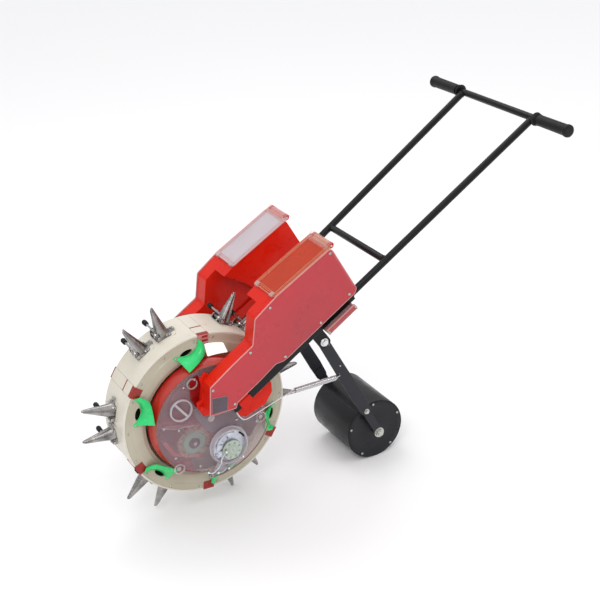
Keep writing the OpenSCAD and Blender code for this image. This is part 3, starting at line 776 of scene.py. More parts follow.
def inlet_plug():
    p = Part()
    d = COVER_D + WALL
    at = side(*PLUG_C)
    ring = [(PLUG_R - 4.2, d), (PLUG_R, d), (PLUG_R, d + 3.2), (PLUG_R - 0.7, d + 4.6),
            (PLUG_R - 2.1, d + 5.1),
            (PLUG_R - 3.5, d + 4.6), (PLUG_R - 4.2, d + 3.2)]
    p.use(0).lathe(ring, at, 72)
    p.use(1).disc([(0, d - 5), (PLUG_R - 3.2, d - 5), (PLUG_R - 3.2, d - 0.4), (PLUG_R - 4.3, d + 0.4),
                   (0, d + 0.4)], at, 72)
    bar_ = fillet([(-PLUG_R + 3, -2.6), (PLUG_R - 3, -2.6), (PLUG_R - 3, 2.6), (-PLUG_R + 3, 2.6)], 0.8, 3)
    p.use(0).prism(bar_, d + 0.3, d + 4.4, side(*PLUG_C, turn=-55))
    return p


both("inlet_plug", inlet_plug, [M["milk"], M["cover"]], "white_clear", nodes=["inlet_plugs"], bevel=0.5)


def hub_bracket():
    p = Part()
    d0 = COVER_D + WALL
    p.prism(fillet(BRACKET, 4, 5), d0 + 0.1, 95.2, side())
    T = TUBE
    p.box((64, -14.5, -15), (92, 11, 15), T)
    # strap and lips of the clamp
    p.box((62.5, -15.8, -8), (93.5, -14.4, 8), T)
    p.box((88, -6, 12), (126, 11, 15.5), T)
    p.box((88, -6, -15.5), (122, 11, -12), T)
    p.box((66, -16.2, 9), (90, -13, 14.2), T)
    inner = Part()
    inner.box((40, -9.55, -11.55), (420, 9.55, 11.55), T)
    return cut(p, inner)


both("hub_bracket", hub_bracket, M["red"], "red_plastic", bevel=1.1, seg=3)


# ---------------- hoppers ----------------
def hopper():
    outline = fillet(HOPPER, [3, 5, 9, 16, 16, 7, 7, 7, 5, 12, 14, 6, 3], 6)
    hollow = fillet(inset(HOPPER, WALL), [2, 3, 7, 13, 13, 5, 5, 5, 3, 10, 12, 4, 2], 6)
    body = Part().prism(outline, INN, OUT, side())
    body = cut(body, Part().prism(circle(RECESS_R, 160), INN - 5, 97, side()))
    # the hollow follows the recess and stays open on the outer side
    core = Part().prism(hollow, INN + WALL, OUT + 2, side())
    core = cut(core, Part().prism(circle(RECESS_R + WALL, 160), INN - 5, 97 + WALL, side()))
    lid_frame = side(LID_REAR.x, LID_REAR.y, 0, LID_A * 180 / pi)
    mouth = Part().prism(rounded(LID_LEN - 18, 40, 4, 5, -LID_LEN / 2, 0), INN + 5, OUT - 5, lid_frame)
    body = cut(body, core, mouth)
    spout = Part().prism(SPOUT, COVER_D + WALL, 97.6, side())
    spout = cut(spout, Part().prism(inset(SPOUT, WALL), COVER_D, 102, side()))
    body.put(spout)
    p = body
    for d in (60, 124):                     # lugs that hold the lid's pin
        p.lathe([(2.6, d), (6.4, d), (6.9, d + 0.6), (6.9, d + 5.4), (6.4, d + 6), (2.6, d + 6)],
                side(*LID_PIN), 36)
    # splash skirt between the hopper's underside and the drum
    p.prism(fillet([(92, 90), (112, 108), (225, 172), (236, 156), (124, 84), (104, 78)], 3, 4), 91, 93.4,
            side())
    # nub at the inner front corner
    p.lathe([(0.2, INN + 1), (4.6, INN + 1), (5, INN + 2), (5, INN + 9), (4.4, INN + 10), (0.2, INN + 10)],
            side(LID_FRONT.x - 1, LID_FRONT.y - 4), 28)
    # inner face: raised boss beside the recess
    p.disc([(0, INN - 0.6), (20, INN - 0.6), (23, INN + 1), (23, INN + 2), (0, INN + 2)], side(236, 268), 48)
    return p


both("hopper", hopper, M["red"], "red_plastic", bevel=1.3, seg=3, angle=40)


def spout_details():
    """Stepped shutter frame beside the chute."""
    p = Part()
    frame_ = [(-12, 126), (8, 108), (-2, 95), (-12, 22), (-24, 24), (-35, 45), (-36, 60), (-20, 64),
              (-20, 90), (-24, 112)]
    p.prism(fillet(frame_, [3, 3, 2, 2, 3, 3, 3, 2, 3, 3], 4), 92, 99.5, side())
    p.prism(fillet([(-20, 92), (-12, 118), (-6, 114), (-14, 90)], 2, 3), 98, 104, side())
    p.prism(fillet([(-33, 46), (-27, 40), (-24, 50), (-31, 55)], 1.5, 3), 98, 106, side())
    return p


both("spout_details", spout_details, M["red"], "red_plastic", nodes=False, bevel=1.2)


def side_plate():
    outline = fillet(PLATE, [4, 4, 6, 8, 8, 10, 10, 8, 5, 3, 3, 6, 8, 6, 4], 6)
    inner = fillet(inset(PLATE, 1.5), [3, 3, 5, 7, 7, 9, 9, 7, 4, 2, 2, 5, 7, 5, 3], 6)
    p = Part()
    z0, z1 = OUT + 0.05, OUT + WALL
    # frosted sheet with a paler polished edge
    p.use(0).prism(inner, z0 + 0.3, z1 - 0.25, side())
    p.use(1).band([(z0, outline), (z1, outline), (z1, inner), (z0, inner)], side())
    # smoked sight window near the outlet
    pane = fillet([(-22, 49), (-19, 86), (18, 81), (13, 47)], [2, 2, 6, 3], 5)
    p.use(2).prism(pane, z1 - 0.35, z1 + 0.25, side())
    p.use(1).sweep([near(x, z1 + 0.1, y) for x, y in pane], 0.4, 6, loop=True)
    return p


both("side_plate", side_plate, [M["plate"], M["plate_edge"], M["window"]], "clear_plate", bevel=0.4)


def lid():
    """Lid plate with raised lines, hinge knuckle, hood and front latches; drawn shut."""
    p = Part()
    at = side(LID_REAR.x, LID_REAR.y, 50, LID_A * 180 / pi)
    flat = at @ lying()                     # local XY lies in the lid, Z points off it

    def ring(w0, r_, z, t):
        """Raised line w0 in from the lid's edge."""
        pts = rounded(LID_LEN + 11 - 2 * w0, LID_W - 2 * w0, r_, 6, *LID_MID)
        p.use(1).sweep([(x, y, z) for x, y in pts], t, 8, flat, loop=True)

    p.use(0).prism(rounded(LID_LEN + 11, LID_W, 7, 7, *LID_MID), 1, 3.2, flat)
    ring(0.9, 6.4, 2.3, 1.2)
    ring(5.5, 4, 3.2, 0.55)
    ring(9.0, 3, 3.3, 0.55)
    # hinge knuckle, its web and the front latches
    h = Part().lathe([(2.6, 67.3), (5.4, 67.3), (6, 68), (6, 122), (5.4, 122.7), (2.6, 122.7)],
                     side(*LID_PIN), 36)
    p.use(1).put(h)
    p.use(1).box((-2, 18, 0.6), (7.5, 72, 3.7), flat)
    # clear hood over the hinge
    top, under = ([(6.7 + r_ * cos(radians(a)), r_ * sin(radians(a)) - 0.2) for a in range(125, -16, -10)]
                  for r_ in (7.9, 7.1))
    hood, thin = [(-10, 3.3), (-4, 4.6)] + top, [(-10, 2.9), (-4, 3.8)] + under
    p.use(3).prism(hood + thin[::-1], 52, 135, side(LID_REAR.x, LID_REAR.y, 0, LID_A * 180 / pi))
    for y in (6, 70):
        p.use(2).prism(rounded(10, 12, 2, 3, -LID_LEN - 1, y + 5), 2.8, 5.2, flat)
        p.use(2).box((-LID_LEN - 7.2, y, -6.5), (-LID_LEN - 5.2, y + 10, 4.6), flat)
        p.use(2).box((-LID_LEN - 5.4, y, -6.5), (-LID_LEN - 3.2, y + 10, -4.6), flat)
    return p


def lid_liner():
    """Tinted sheet under the lid."""
    p = Part()
    at = side(LID_REAR.x, LID_REAR.y, 50, LID_A * 180 / pi) @ lying()
    p.prism(rounded(LID_LEN - 14, 62, 3, 5, *LID_MID), 0.0, 0.45, at)
    return p


lid_part = lid()
build("v_lid_near", lid_part, [M["lid"], M["lid_line"], M["clear"], M["hood"]], "lid_near", "clear_lid",
      ["lid_near"], bevel=0.2)
build("v_lid_far", lid_part.far(), [M["lid_white"], M["plate_edge"], M["clear"], M["hood"]], "lid_far",
      "clear_lid",
      ["lid_far"], bevel=0.2)
build("lid_liner_near", lid_liner(), M["liner"], "lid_near", "clear_lid", bevel=0.2)
build("lid_liner_far", lid_liner().far(), M["film"], "lid_far", "clear_lid", bevel=0.2)


def tube_guard():
    p = Part()
    T = TUBE
    p.use(0).box((304.5, -28, -19), (388, 16, -16.4), T)
    p.use(0).box((304.5, -28, -16.6), (388, -25.4, -6), T)
    p.use(0).box((304.5, 13.4, -16.6), (388, 16, -6), T)
    for x in (306, 384.5):
        p.use(1).box((x, -29, -19.6), (x + 2.2, 16.6, -16), T)
        p.use(1).box((x, -29, -16.2), (x + 2.2, -25.2, -5.4), T)
    p.use(1).box((304.5, -28.6, -7), (388, -25, -5.2), T)
    return p


both("tube_guard", tube_guard, [M["guard"], M["plate_edge"]], "clear_plate", nodes=["tube_guards"], bevel=0.6)


# ---------------- metering ----------------
def meter_case():
    p = Part()
    d = COVER_D + WALL
    at = side(*CASE_C)
    wall = [(CASE_R - 2.6, d + 0.2), (CASE_R - 0.6, d + 0.2), (CASE_R, d + 0.9), (CASE_R, d + 11.4),
            (CASE_R - 0.4, d + 12.6),
            (CASE_R - 1.3, d + 13), (CASE_R - 2.2, d + 12.6), (CASE_R - 2.6, d + 11.4)]
    p.use(0).lathe(wall, at, 96)
    p.use(0).lathe([(CASE_R - 0.4, d + 0.2), (CASE_R + 3.4, d + 0.2), (CASE_R + 3.4, d + 1.4),
                    (CASE_R - 0.4, d + 2)], at, 96)
    p.use(1).disc([(0, d + 0.3), (CASE_R - 2.8, d + 0.3), (CASE_R - 2.8, d + 1.7), (0, d + 1.7)], at, 72)
    # moulded scoops and webs on the silvery floor
    p.use(1)
    for a, w in ((118, 16), (150, 12), (182, 18), (214, 13), (88, 12)):
        q = side(*CASE_C, turn=a)
        p.prism(fillet([(15, -w / 2), (36, -w / 2 - 2), (37.5, w / 2), (17, w / 2 - 2)], 3, 4), d + 1.6,
                d + 3.8, q)
    p.lathe([(29.5, d + 1.6), (31, d + 1.6), (31, d + 6), (29.5, d + 6)], at, 72, 60, 190)
    p.use(3)
    p.lathe([(34.5, d + 8), (38.2, d + 8), (38.2, d + 11), (34.5, d + 11)], at, 72, 22, 26)
    p.use(0)
    for a in (12, 78, 112, 168, 236, 300):
        q = polar(CASE_R - 0.5, a)
        p.lathe([(1.4, d + 9), (3.1, d + 9), (3.1, d + 13.2), (2.6, d + 13.8), (1.4, d + 13.8)],
                side(CASE_C[0] + q[0], CASE_C[1] + q[1]), 24)
    # tail that carries the lever
    tail = fillet([(10, -98), (-10, -127), (-7, -133), (9, -135), (36, -113)], 4, 5)
    p.use(0).prism(tail, d + 0.2, d + 2.4, side())
    inner = inset(tail, 1.6)
    p.band([(d + 2.2, tail), (d + 8.4, tail), (d + 8.4, inner), (d + 2.2, inner)], side())
    # bent wire lever
    p.use(2)
    p.sweep(smooth([near(20, d + 15, -84), near(8, d + 15.5, -93), near(4, d + 15, -106),
                    near(-8, d + 13, -121),
                    near(-19, d + 10, -126), near(-27, d + 7, -118)], 5), 1.25, 8)
    p.sweep(smooth([near(24, d + 13, -126), near(34, d + 13.8, -118), near(50, d + 13.5, -112),
                    near(58, d + 11, -109)], 4), 1.0, 8)
    for x, z, r_ in ((-4, -128, 3.2), (22, -126, 3.0), (58, -109, 3.0), (20, -84, 3.2), (-27, -119, 3.0)):
        p.disc([(0, d + 8), (r_, d + 8), (r_, d + 15), (r_ * 0.7, d + 16.2), (0, d + 16.4)], side(x, z), 20)
    # spring clip at the foot
    for k in range(6):
        p.lathe([(3.2, d + 2.4 + 1.5 * k), (4.1, d + 2.4 + 1.5 * k), (4.1, d + 3.3 + 1.5 * k),
                 (3.2, d + 3.3 + 1.5 * k)],
                side(-19, -133), 20)
    return p


def smooth(pts, n):
    """Catmull-Rom points through the given ones."""
    pts = [Vector(p) for p in pts]
    out = []
    for i in range(len(pts) - 1):
        a, b, c, d = pts[max(i - 1, 0)], pts[i], pts[i + 1], pts[min(i + 2, len(pts) - 1)]
        for k in range(n):
            t = k / n
            out.append(0.5 * (2 * b + (c - a) * t + (2 * a - 5 * b + 4 * c - d) * t * t
                              + (3 * b - a - 3 * c + d) * t ** 3))
    return out + [pts[-1]]


def gear(n, tip, root, tip_w, root_w, a0):
    out = []
    for i in range(n):
        for r_, w in ((root, -root_w), (tip, -tip_w), (tip, tip_w), (root, root_w)):
            out.append(polar(r_, a0 + i * 360 / n + asin(w / r_) * 180 / pi))
    return out


def meter_rotor():
    p = Part()
    at = side(*METER_C)
    p.use(1).prism(gear(METER_N, 20.3, 13.7, 1.9, 3.9, METER_A), 3, 9, at)
    p.use(1).disc([(0, 3), (4, 3), (4, 94), (0, 94)], at, 28)
    d = COVER_D + WALL
    wheel = Part().lathe([(4, d + 4.2), (METER_R - 0.8, d + 4.2), (METER_R, d + 5), (METER_R, d + 8),
                          (METER_R - 0.8, d + 8.8), (9, d + 8.8),
                          (8, d + 10.4), (4, d + 10.4)], at, 80)
    for k in range(8):
        x, z = polar(METER_R - 5.5, 22.5 + 45 * k)
        cup = Part().disc([(0, d + 6.2), (2.2, d + 6.2), (2.9, d + 9.5), (0, d + 9.5)],
                          side(METER_C[0] + x, METER_C[1] + z), 20)
        wheel = cut(wheel, cup)
    p.use(0).put(wheel)
    p.use(0).lathe([(11.5, d + 8.7), (12.5, d + 8.7), (12.5, d + 9.5), (11.5, d + 9.5)], at, 56)
    return p


def brush_rotor():
    p = Part()
    cx, cz = BRUSH_C
    at = side(cx, cz)
    p.use(1).prism(gear(BRUSH_N, 50.3, 43.7, 1.9, 3.9, BRUSH_TOOTH), 3, 9, at)
    p.use(1).disc([(0, 3), (4, 3), (4, 77), (0, 77)], at, 28)
    core = [(4, 61.5), (25, 61.5), (26.5, 63), (26.5, 71), (25, 72.5), (22, 73.2), (14, 73.2), (12.5, 72),
            (4, 72)]
    p.use(0).lathe(core, at, 80)
    p.use(2).disc([(0, 71), (12.2, 71), (12.4, 74.5), (11.2, 76), (6, 76.4), (0, 76.4)], at, 40)
    p.use(0)
    for k in range(24):
        x, z = polar(23.8, 15 * k)
        p.disc([(0, 72.6), (1.3, 72.6), (1.1, 74), (0, 74.2)], side(cx + x, cz + z), 10)
    p.use(3)
    for k in range(46):
        for t in range(7):
            a = 360 * (k + rng.uniform(-0.34, 0.34)) / 46
            d = lerp(63.5, 71.5, t / 6) + rng.uniform(-0.6, 0.6)
            b = a + rng.uniform(-1.8, 1.8)
            r1 = rng.uniform(36.2, 38.4)
            x0, z0 = polar(25.5, a)
            x1, z1 = polar(r1, b)
            p.sweep([near(cx + x0, d, cz + z0), near(cx + x1, d + rng.uniform(-1.2, 1.2), cz + z1)],
                    [0.42, 0.3], 5)
    return p


both("meter_case", meter_case, [M["milk"], M["silver"], M["steel"], M["dark"]], "white_clear",
     nodes=["meter_cases"], bevel=0)
both("meter_rotor", meter_rotor, [M["pale_green"], M["steel"]], "pale_green", body="meter_", bevel=0)
both("brush_rotor", brush_rotor, [M["green_hub"], M["steel"], M["dark"], M["bristle"]], "pale_green",
     body="brush_", bevel=0)


# ---------------- drum ----------------
def drum_rim():
    p = Part()
    prof = [(RIM_R - 4, -HALF_W), (RIM_R - 1.4, -HALF_W), (RIM_R - 0.4, -HALF_W + 0.5),
            (RIM_R, -HALF_W + 1.6),
            (RIM_R, -HALF_W + 5), (RIM_R, HALF_W - 5), (RIM_R, HALF_W - 1.6), (RIM_R - 0.4, HALF_W - 0.5),
            (RIM_R - 1.4, HALF_W), (RIM_R - 4, HALF_W)]
    for k in range(6):
        a = BLOCK_A + 60 * k
        p.lathe(prof, side(), 48, a + 4.02, 51.96)
        p.lathe(prof, side(), 8, a - 3.84, 7.68)
        # moulded pips and ejector marks
        for da, d in ((8, -40), (8, 40), (19, -42), (19, 42), (30, -36), (30, 36), (41, 42), (52, -40),
                      (52, 40), (13, 0), (30, 0)):
            q = on_rim(a + da, d, RIM_R)
            p.disc([(0, -0.4), (1.9, -0.4), (1.9, 0.25), (1.2, 0.6), (0, 0.6)], q, 14)
    return p


def on_rim(a, d, r_):
    """Frame on the rim at angle a and depth d, local Z outwards, local Y to the near side."""
    ca, sa = cos(radians(a)), sin(radians(a))
    return Matrix(((-sa, 0, ca, r_ * ca), (0, -1, 0, -d), (ca, 0, sa, r_ * sa), (0, 0, 0, 1)))


build("v_drum_rim", drum_rim(), M["cream"], "drum", "cream_plastic", ["drum_rim"], bevel=0, sharp=40)

rim_marks = Part()
for a in BEAK_ANGLES:
    seat = Part().prism(rounded(46, 46, 8, 6, 0, 0), -0.6, 0.5, on_rim(a, -BEAK_Y, RIM_R))
    rim_marks.put(seat)
build("beak_seats", rim_marks, M["cream"], "drum", "cream_plastic", bevel=0.3)


def side_disc():
    prof = [(HOLE_R, 48.6), (RIM_R - 4.2, 48.6), (RIM_R - 4.2, 51.2), (RIM_R - 6, 52.2), (RIM_R - 8, 52.5),
            (172, 52.6),
            (170.6, 53.2), (169.6, 54.6), (168.4, 55.2), (160, 55.4), (149, 55.4), (146.5, 55.0),
            (144.6, 53.6), (143.4, 52.8),
            (141, 52.6), (139.7, 52.0), (HOLE_R, 51.2)]
    p = Part().lathe(prof, side(), 180)
    wide, narrow = 14.5, 6.4
    windows = []
    for k in range(6):
        a = BLOCK_A + 14.8 + 60 * k
        windows.append(side(*polar(161.5, a), turn=a + 94))
    for at in windows:
        p = cut(p, Part().prism(circle(wide, 44, 0, 0, narrow), 45, 60, at))
    # bowls behind the windows, in near-black green as painted shade inside them
    for at in windows:
        rings = []
        for r_, d in ((1.08, 51.5), (1.0, 47), (0.8, 43), (0.45, 41), (0.02, 40.5)):
            rings.append([at @ Vector((wide * r_ * cos(tau * i / 28), narrow * r_ * sin(tau * i / 28), d))
                          for i in range(29)])
        p.use(1).shell(rings, 0.8)
    p.use(0)
    return p


both("side_disc", side_disc, [M["beige"], M["green_painted_shade"]], "beige_plastic", body="drum", bevel=0, sharp=50)


def red_blocks():
    """Blocks that bridge the rim's joints; the one beside the white insert is ribbed."""
    p = Part()
    for k in range(6):
        a = BLOCK_A + 60 * k
        q = side(turn=a)
        for flip in (1, -1):
            b = Part()
            body = Part().prism(fillet([(162, -11), (189.2, -12.6), (189.2, 12.6), (162, 11)],
                                       [1.5, 0.6, 0.6, 1.5], 3), 52.5, 54.2)
            body = cut(body, Part().prism(circle(1.9, 20, 183, 8), 53.2, 58))
            b.use(1 if k == 1 else 0).put(body, q)
            b.use(0).prism([(187.4, -12.6), (190.5, -12.6), (190.5, 12.6), (187.4, 12.6)], 52.2, 53.6, q)
            if flip == 1:
                b.use(0).prism(rounded(25.2, 9, 0.8, 3), -0.6, 0.5, on_rim(a, 47.7, RIM_R))
            if k == 1:
                for r_ in (184.6, 175.6, 167):
                    b.use(0).prism(fillet([(r_ - 2.2, -9.4), (r_ + 2.2, -9.9), (r_ + 2.2, 3),
                                           (r_ - 2.2, 4.4)], 1.4, 4), 54.0, 55.4, q)
            p.put(b if flip == 1 else b.far(), keep=True)
        # flush bar on the tread
        p.use(0).put(Part().prism(rounded(26, 2.0, 0.8, 3), -0.4, 0.9, on_rim(a, 14, RIM_R)))
    return p


build("v_red_blocks", red_blocks(), [M["block"], M["block_pink"]], "drum", "red_plastic", ["red_blocks"],
      bevel=0.35)


def seed_guide():
    """Curved scoop that rises from the window in the side disc to the hub."""
    p = Part()
    foot = smooth([(181, 3.7, 55.2), (168, 5.2, 55.6), (157, 9.5, 56.0), (155, 15.5, 56.0), (160, 20.6, 55.4),
                   (164, 23.4, 54.6)], 5)
    edge = smooth([(172, 1.4, 60), (158, 1.6, 66), (149, 3.4, 70.5), (141, 9.0, 76), (135.5, 15.0, 79),
                   (132, 20.4, 80.2)], 5)
    rows, cols = 15, len(foot)
    grid = []
    for i in range(rows):
        v = i / (rows - 1)
        row = []
        for j in range(cols):
            f, e, u = foot[j], edge[j], j / (cols - 1)
            r_, a, d = (lerp(f[n], e[n], v) for n in range(3))
            swell = sin(pi * v) * (0.4 + 0.6 * sin(pi * min(1, u * 1.15)))
            x, z = polar(r_ + 1.2 * swell, a)
            row.append(near(x, d + 5.6 * swell - 1.6 * sin(pi * v) * u, z))
        grid.append(row)
    p.shell(grid, 1.4)
    down, up = [row[-1] for row in grid[1:]], [row[0] for row in grid[-2:0:-1]]
    rim_ = grid[0] + down + grid[-1][-2::-1] + up
    p.sweep(rim_, 0.95, 8, loop=True)
    # upright lip along the window and the screw tab at its end
    lip = []
    for i in range(5):
        t = i / 4
        lip.append([grid[0][j] + Vector((0, -1, 0)) * (3.2 * t * sin(pi * min(1, 0.1 + j / (cols - 1)))) +
                    Vector(polar(1, foot[j][1])).to_3d().xzy * (1.8 * t) for j in range(cols)])
    p.shell(lip, 1.0)
    x, z = polar(163.5, 23.4)
    p.prism(circle(4.6, 24), 52.8, 56.2, side(x, z))
    return p


guides = Part()
one_guide = seed_guide()
for k in range(6):
    turn = Matrix.Rotation(radians(-(BLOCK_A + 60 * k)), 4, "Y")
    guides.put(one_guide, turn)
    guides.put(one_guide.far(), turn)
build("v_seed_guides", guides, M["green"], "drum", "green_plastic", ["seed_guides"], bevel=0, sharp=60)

# white insert set in the near side disc, beside one guide; its material glows as painted light so that it
# reads pure white
insert = Part()
top = [polar(lerp(168, 166.3, t / 8), lerp(86, 70.7, t / 8)) for t in range(9)]
low = [polar(lerp(146.3, 137.6, t / 8) - 0.8 * sin(pi * t / 8), lerp(64.4, 83.2, t / 8)) for t in range(9)]
insert.prism(fillet(top + low, [2] + [0] * 7 + [5, 4] + [0] * 7 + [2], 5), 55.4, 57.4, side())
build("disc_insert_painted_glow", insert, M["white"], "drum", "cream_plastic", bevel=0.4)
# painted shade with red bounce light: a thin brownish sheet over the disc beside the insert, under the
# overhanging hopper
painted_shade_patch = Part()
outer = [polar(163, lerp(28, 88, t / 16)) for t in range(17)]
inner = [polar(lerp(136, 134, t / 16), lerp(88, 28, t / 16)) for t in range(17)]
painted_shade_patch.prism(outer + inner, 53.6, 55.2, side())
build("disc_tint", painted_shade_patch, M["tint"], "drum", "cream_plastic", bevel=0.3)


# ---------------- beaks ----------------
X0 = RIM_R + 0.6


def scoop(x0, x1, half, half_tip, edge, edge_tip, deep, deep_tip, power):
    """Outer face of a half cone from x0 to x1: half width, edge and depth, each at root and tip."""
    rows, cols, tip = 22, 15, 0.1
    grid = []
    for i in range(rows):
        u = (i / (rows - 1)) ** 0.85
        w = lerp(half, half_tip, u ** power)
        if u > 1 - tip:
            w *= max(0.05, sqrt(max(0.0, 1 - ((u - 1 + tip) / tip) ** 2)) * 0.85 + 0.15 * (1 - u) / tip)
        e, b = lerp(edge, edge_tip, u ** 0.9), lerp(deep, deep_tip, u ** 0.8)
        row = []
        for j in range(cols):
            t = pi * j / (cols - 1)
            y = w * cos(t)
            z = e + (b - e) * sin(t) ** 0.8
            row.append(Vector((lerp(x0, x1, u), y, z)))
        grid.append(row)
    return grid


def beak():
    p = Part()
    grid = scoop(X0 + 1, TIP_R, 14.2, 2.6, 11, 1.4, -13, -1.8, 1.12)
    flip = [row[::-1] for row in grid]
    p.use(0).shell(flip, 1.3)
    edge = [row[0] for row in grid] + [row[-1] for row in grid[::-1]]
    p.use(1).sweep(edge, 0.95, 8)
    # centre fold
    fold = [row[len(row) // 2] for row in grid[:-2]]
    p.use(0).sweep(fold, [1.5 * (1 - 0.6 * i / 20) for i in range(len(fold))], 8)
    # base plate, lugs and slotted tab
    plate = fillet([(-20, -14), (-9, -14), (-8, -27), (8, -27), (9, -14), (20, -14), (20, 9), (17, 22),
                    (-17, 22), (-20, 9)],
                   [5, 3, 6, 6, 3, 5, 5, 4, 4, 5], 5)
    base = Part().prism(plate, 0, 1.7)
    slot = Part().prism(rounded(4.4, 9, 2.1, 5, 0, -21), -1, 3)
    to_beak = Matrix(((0, 0, 1, RIM_R + 0.45), (1, 0, 0, 0), (0, 1, 0, 0), (0, 0, 0, 1)))
    p.use(0).put(cut(base, slot), to_beak)
    for y in (-19, 16.5):
        lug = fillet([(RIM_R, JAW_Z - 5.5), (JAW_X - 1, JAW_Z - 5.5), (JAW_X + 5, JAW_Z - 3),
                      (JAW_X + 5, JAW_Z + 3),
                      (JAW_X - 1, JAW_Z + 5), (RIM_R, JAW_Z + 5.5)], [0.5, 1, 4, 4, 1, 0.5], 5)
        m = Matrix(((1, 0, 0, 0), (0, 0, -1, y + 2.5), (0, 1, 0, 0), (0, 0, 0, 1)))
        p.use(0).prism(lug, 0, 2.5, m)
    # flared foot where the scoop is spot-welded
    p.use(0).lathe([(13.2, 0), (17.5, 0), (16.6, 1.1), (14.4, 2.2), (13.6, 4.5), (12.6, 4.5), (12.8, 1.8)],
                   Matrix(((0, 0, 1, RIM_R + 1.6), (1, 0, 0, 0), (0, 0.86, 0, -1.5), (0, 0, 0, 1))), 28, 180,
                   180)
    p.use(1).rod((JAW_X, -22, JAW_Z), (JAW_X, 22, JAW_Z), 2, 20)
    for y in (-22.4, 20.2):
        p.use(1).rod((JAW_X, y, JAW_Z), (JAW_X, y + 2.2, JAW_Z), 3.6, 20)
    for y, z in ((-16, -9), (16, -9), (0, 17.5)):
        screw(p.use(1), to_beak @ Matrix.Translation((y, z, 1.7)), 3.3)
    screw(p.use(1), to_beak @ Matrix.Translation((0, -23.5, 1.7)), 3.0)
    return p


one_beak = beak()
beaks = Part()
for a in BEAK_ANGLES:
    beaks.put(one_beak, beak_frame(a), keep=True)
build("v_beaks", beaks, [M["beak"], M["beak_edge"]], "drum", "beak_steel", ["beaks", "beak_pins"], bevel=0,
      sharp=50)


def jaw():
    p = Part()
    grid = scoop(JAW_X - 2, TIP_R - 4, 12.2, 1.9, 5, 1.0, 17.5, 3.6, 1.1)
    p.use(0).shell(grid, 1.2)
    p.use(1).sweep([row[0] for row in grid] + [row[-1] for row in grid[::-1]], 0.85, 8)
    p.use(1).sweep([row[len(row) // 2] + Vector((0, 0, 0.1)) for row in grid[:-1]],
                   [1.3 * (1 - 0.6 * i / 21) for i in range(len(grid) - 1)], 8)
    knuckle = Part().lathe([(2.15, -14), (3.7, -14), (4, -13.6), (4, 13.6), (3.7, 14), (2.15, 14)],
                           lying(JAW_X, JAW_Z), 28)
    p.use(0).put(knuckle)
    turns, steps, pitch = 5, 14, 1.55
    coil = [Vector((JAW_X + 5.0 * cos(tau * i / steps), -11 + i * pitch / steps,
                    JAW_Z + 5.0 * sin(tau * i / steps)))
            for i in range(steps * turns + 1)]
    p.use(1).sweep(coil, 0.7, 6)
    m = lying(LEVER_X, LEVER_Z)
    p.use(1).disc([(0, 0), (2.5, 0), (2.5, 43), (0, 43)], m, 20)
    p.use(1).disc([(0, 12.6), (3.6, 12.6), (3.9, 13.1), (3.9, 15.4), (3.5, 15.9), (0, 15.9)], m, 20)
    r_ = CAP_R - 0.35
    cap = [(0, 41.6), (r_ - 0.9, 41.6), (r_, 42.4), (r_, 45.2), (r_ - 0.7, 45.9), (r_ - 0.7, 46.7),
           (r_, 47.4), (r_, 55.2),
           (r_ - 0.5, 56.7), (r_ - 1.7, 57.8), (0, 58)]
    p.use(2).disc(cap, m, 28)
    for k in range(10):
        q = m @ Matrix.Rotation(tau * k / 10, 4, "Z")
        p.use(2).box((r_ - 0.4, -0.6, 47.9), (CAP_R, 0.6, 55.0), q)
    return p


one_jaw = jaw()
for i, a in enumerate(BEAK_ANGLES, 1):
    piece = Part().put(one_jaw, beak_frame(a), keep=True)
    build(f"v_jaw_{i}", piece, [M["beak"], M["beak_edge"], M["cap"]], f"jaw_{i}", "beak_steel", [f"jaw_{i}"],
          bevel=0, sharp=50)


# ---------------- press roller ----------------
def arm():
    at = side(PIVOT[0], PIVOT[1], ARM_D, ARM_A * 180 / pi)
    plate = [(-4, -12.7), (200, -15), (238, -14), (252, -8), (252, 8), (238, 13), (200, 15), (-4, 12.7),
             (-12.4, 8), (-12.4, -8)]
    p = Part().prism(fillet(plate, [4, 30, 8, 9, 9, 8, 30, 4, 8, 8], 6), 0, 4)
    strap = fillet([(214, -9.6), (ARM_LEN + 2, -9.6), (ARM_LEN + 11, -6), (ARM_LEN + 11, 6),
                    (ARM_LEN + 2, 9.6), (214, 9.6)],
                   [2, 6, 7, 7, 6, 2], 6)
    lower = Part().prism(strap, -3.2, 0.1)
    p = cut(p, Part().prism(circle(5.1, 40), -5, 8), Part().prism(circle(2.5, 24, 104, -8), -5, 8))
    lower = cut(lower, Part().prism(circle(6.02, 40, ARM_LEN, 0), -5, 8))
    p.put(lower)
    return Part().put(p, at)


both("arm", arm, M["arm"], "black_paint", body="arm", bevel=0.5, clamp=False)

axle = Part()
axle.rod(near(ROLLER[0], ARM_D + 8, ROLLER[1]), near(ROLLER[0], -ARM_D - 8, ROLLER[1]), 6, 32)
build("v_roller_axle", axle, M["screw"], "arm", "steel", ["roller_axle"], bevel=0)


def arm_nut():
    p = Part()
    p.use(0).prism(circle(10, 6), ARM_D + 0.5, ARM_D + 6, side(*ROLLER, turn=14))
    p.use(1).lathe([(6.05, ROLLER_HALF + 0.6), (8.6, ROLLER_HALF + 0.6), (9, ROLLER_HALF + 1.2),
                    (9, ARM_D - 4), (8.6, ARM_D - 3.4), (6.05, ARM_D - 3.4)],
                   side(*ROLLER), 36)
    p.use(0).lathe([(6.05, ARM_D - 0.1), (12.4, ARM_D - 0.1), (12.6, ARM_D + 0.4), (12.2, ARM_D + 0.9),
                    (6.05, ARM_D + 0.9)], side(*ROLLER), 36)
    return p


both("arm_nut", arm_nut, [M["screw"], M["roller"]], "steel", body="arm", nodes=["arm_nuts"], bevel=0.4)

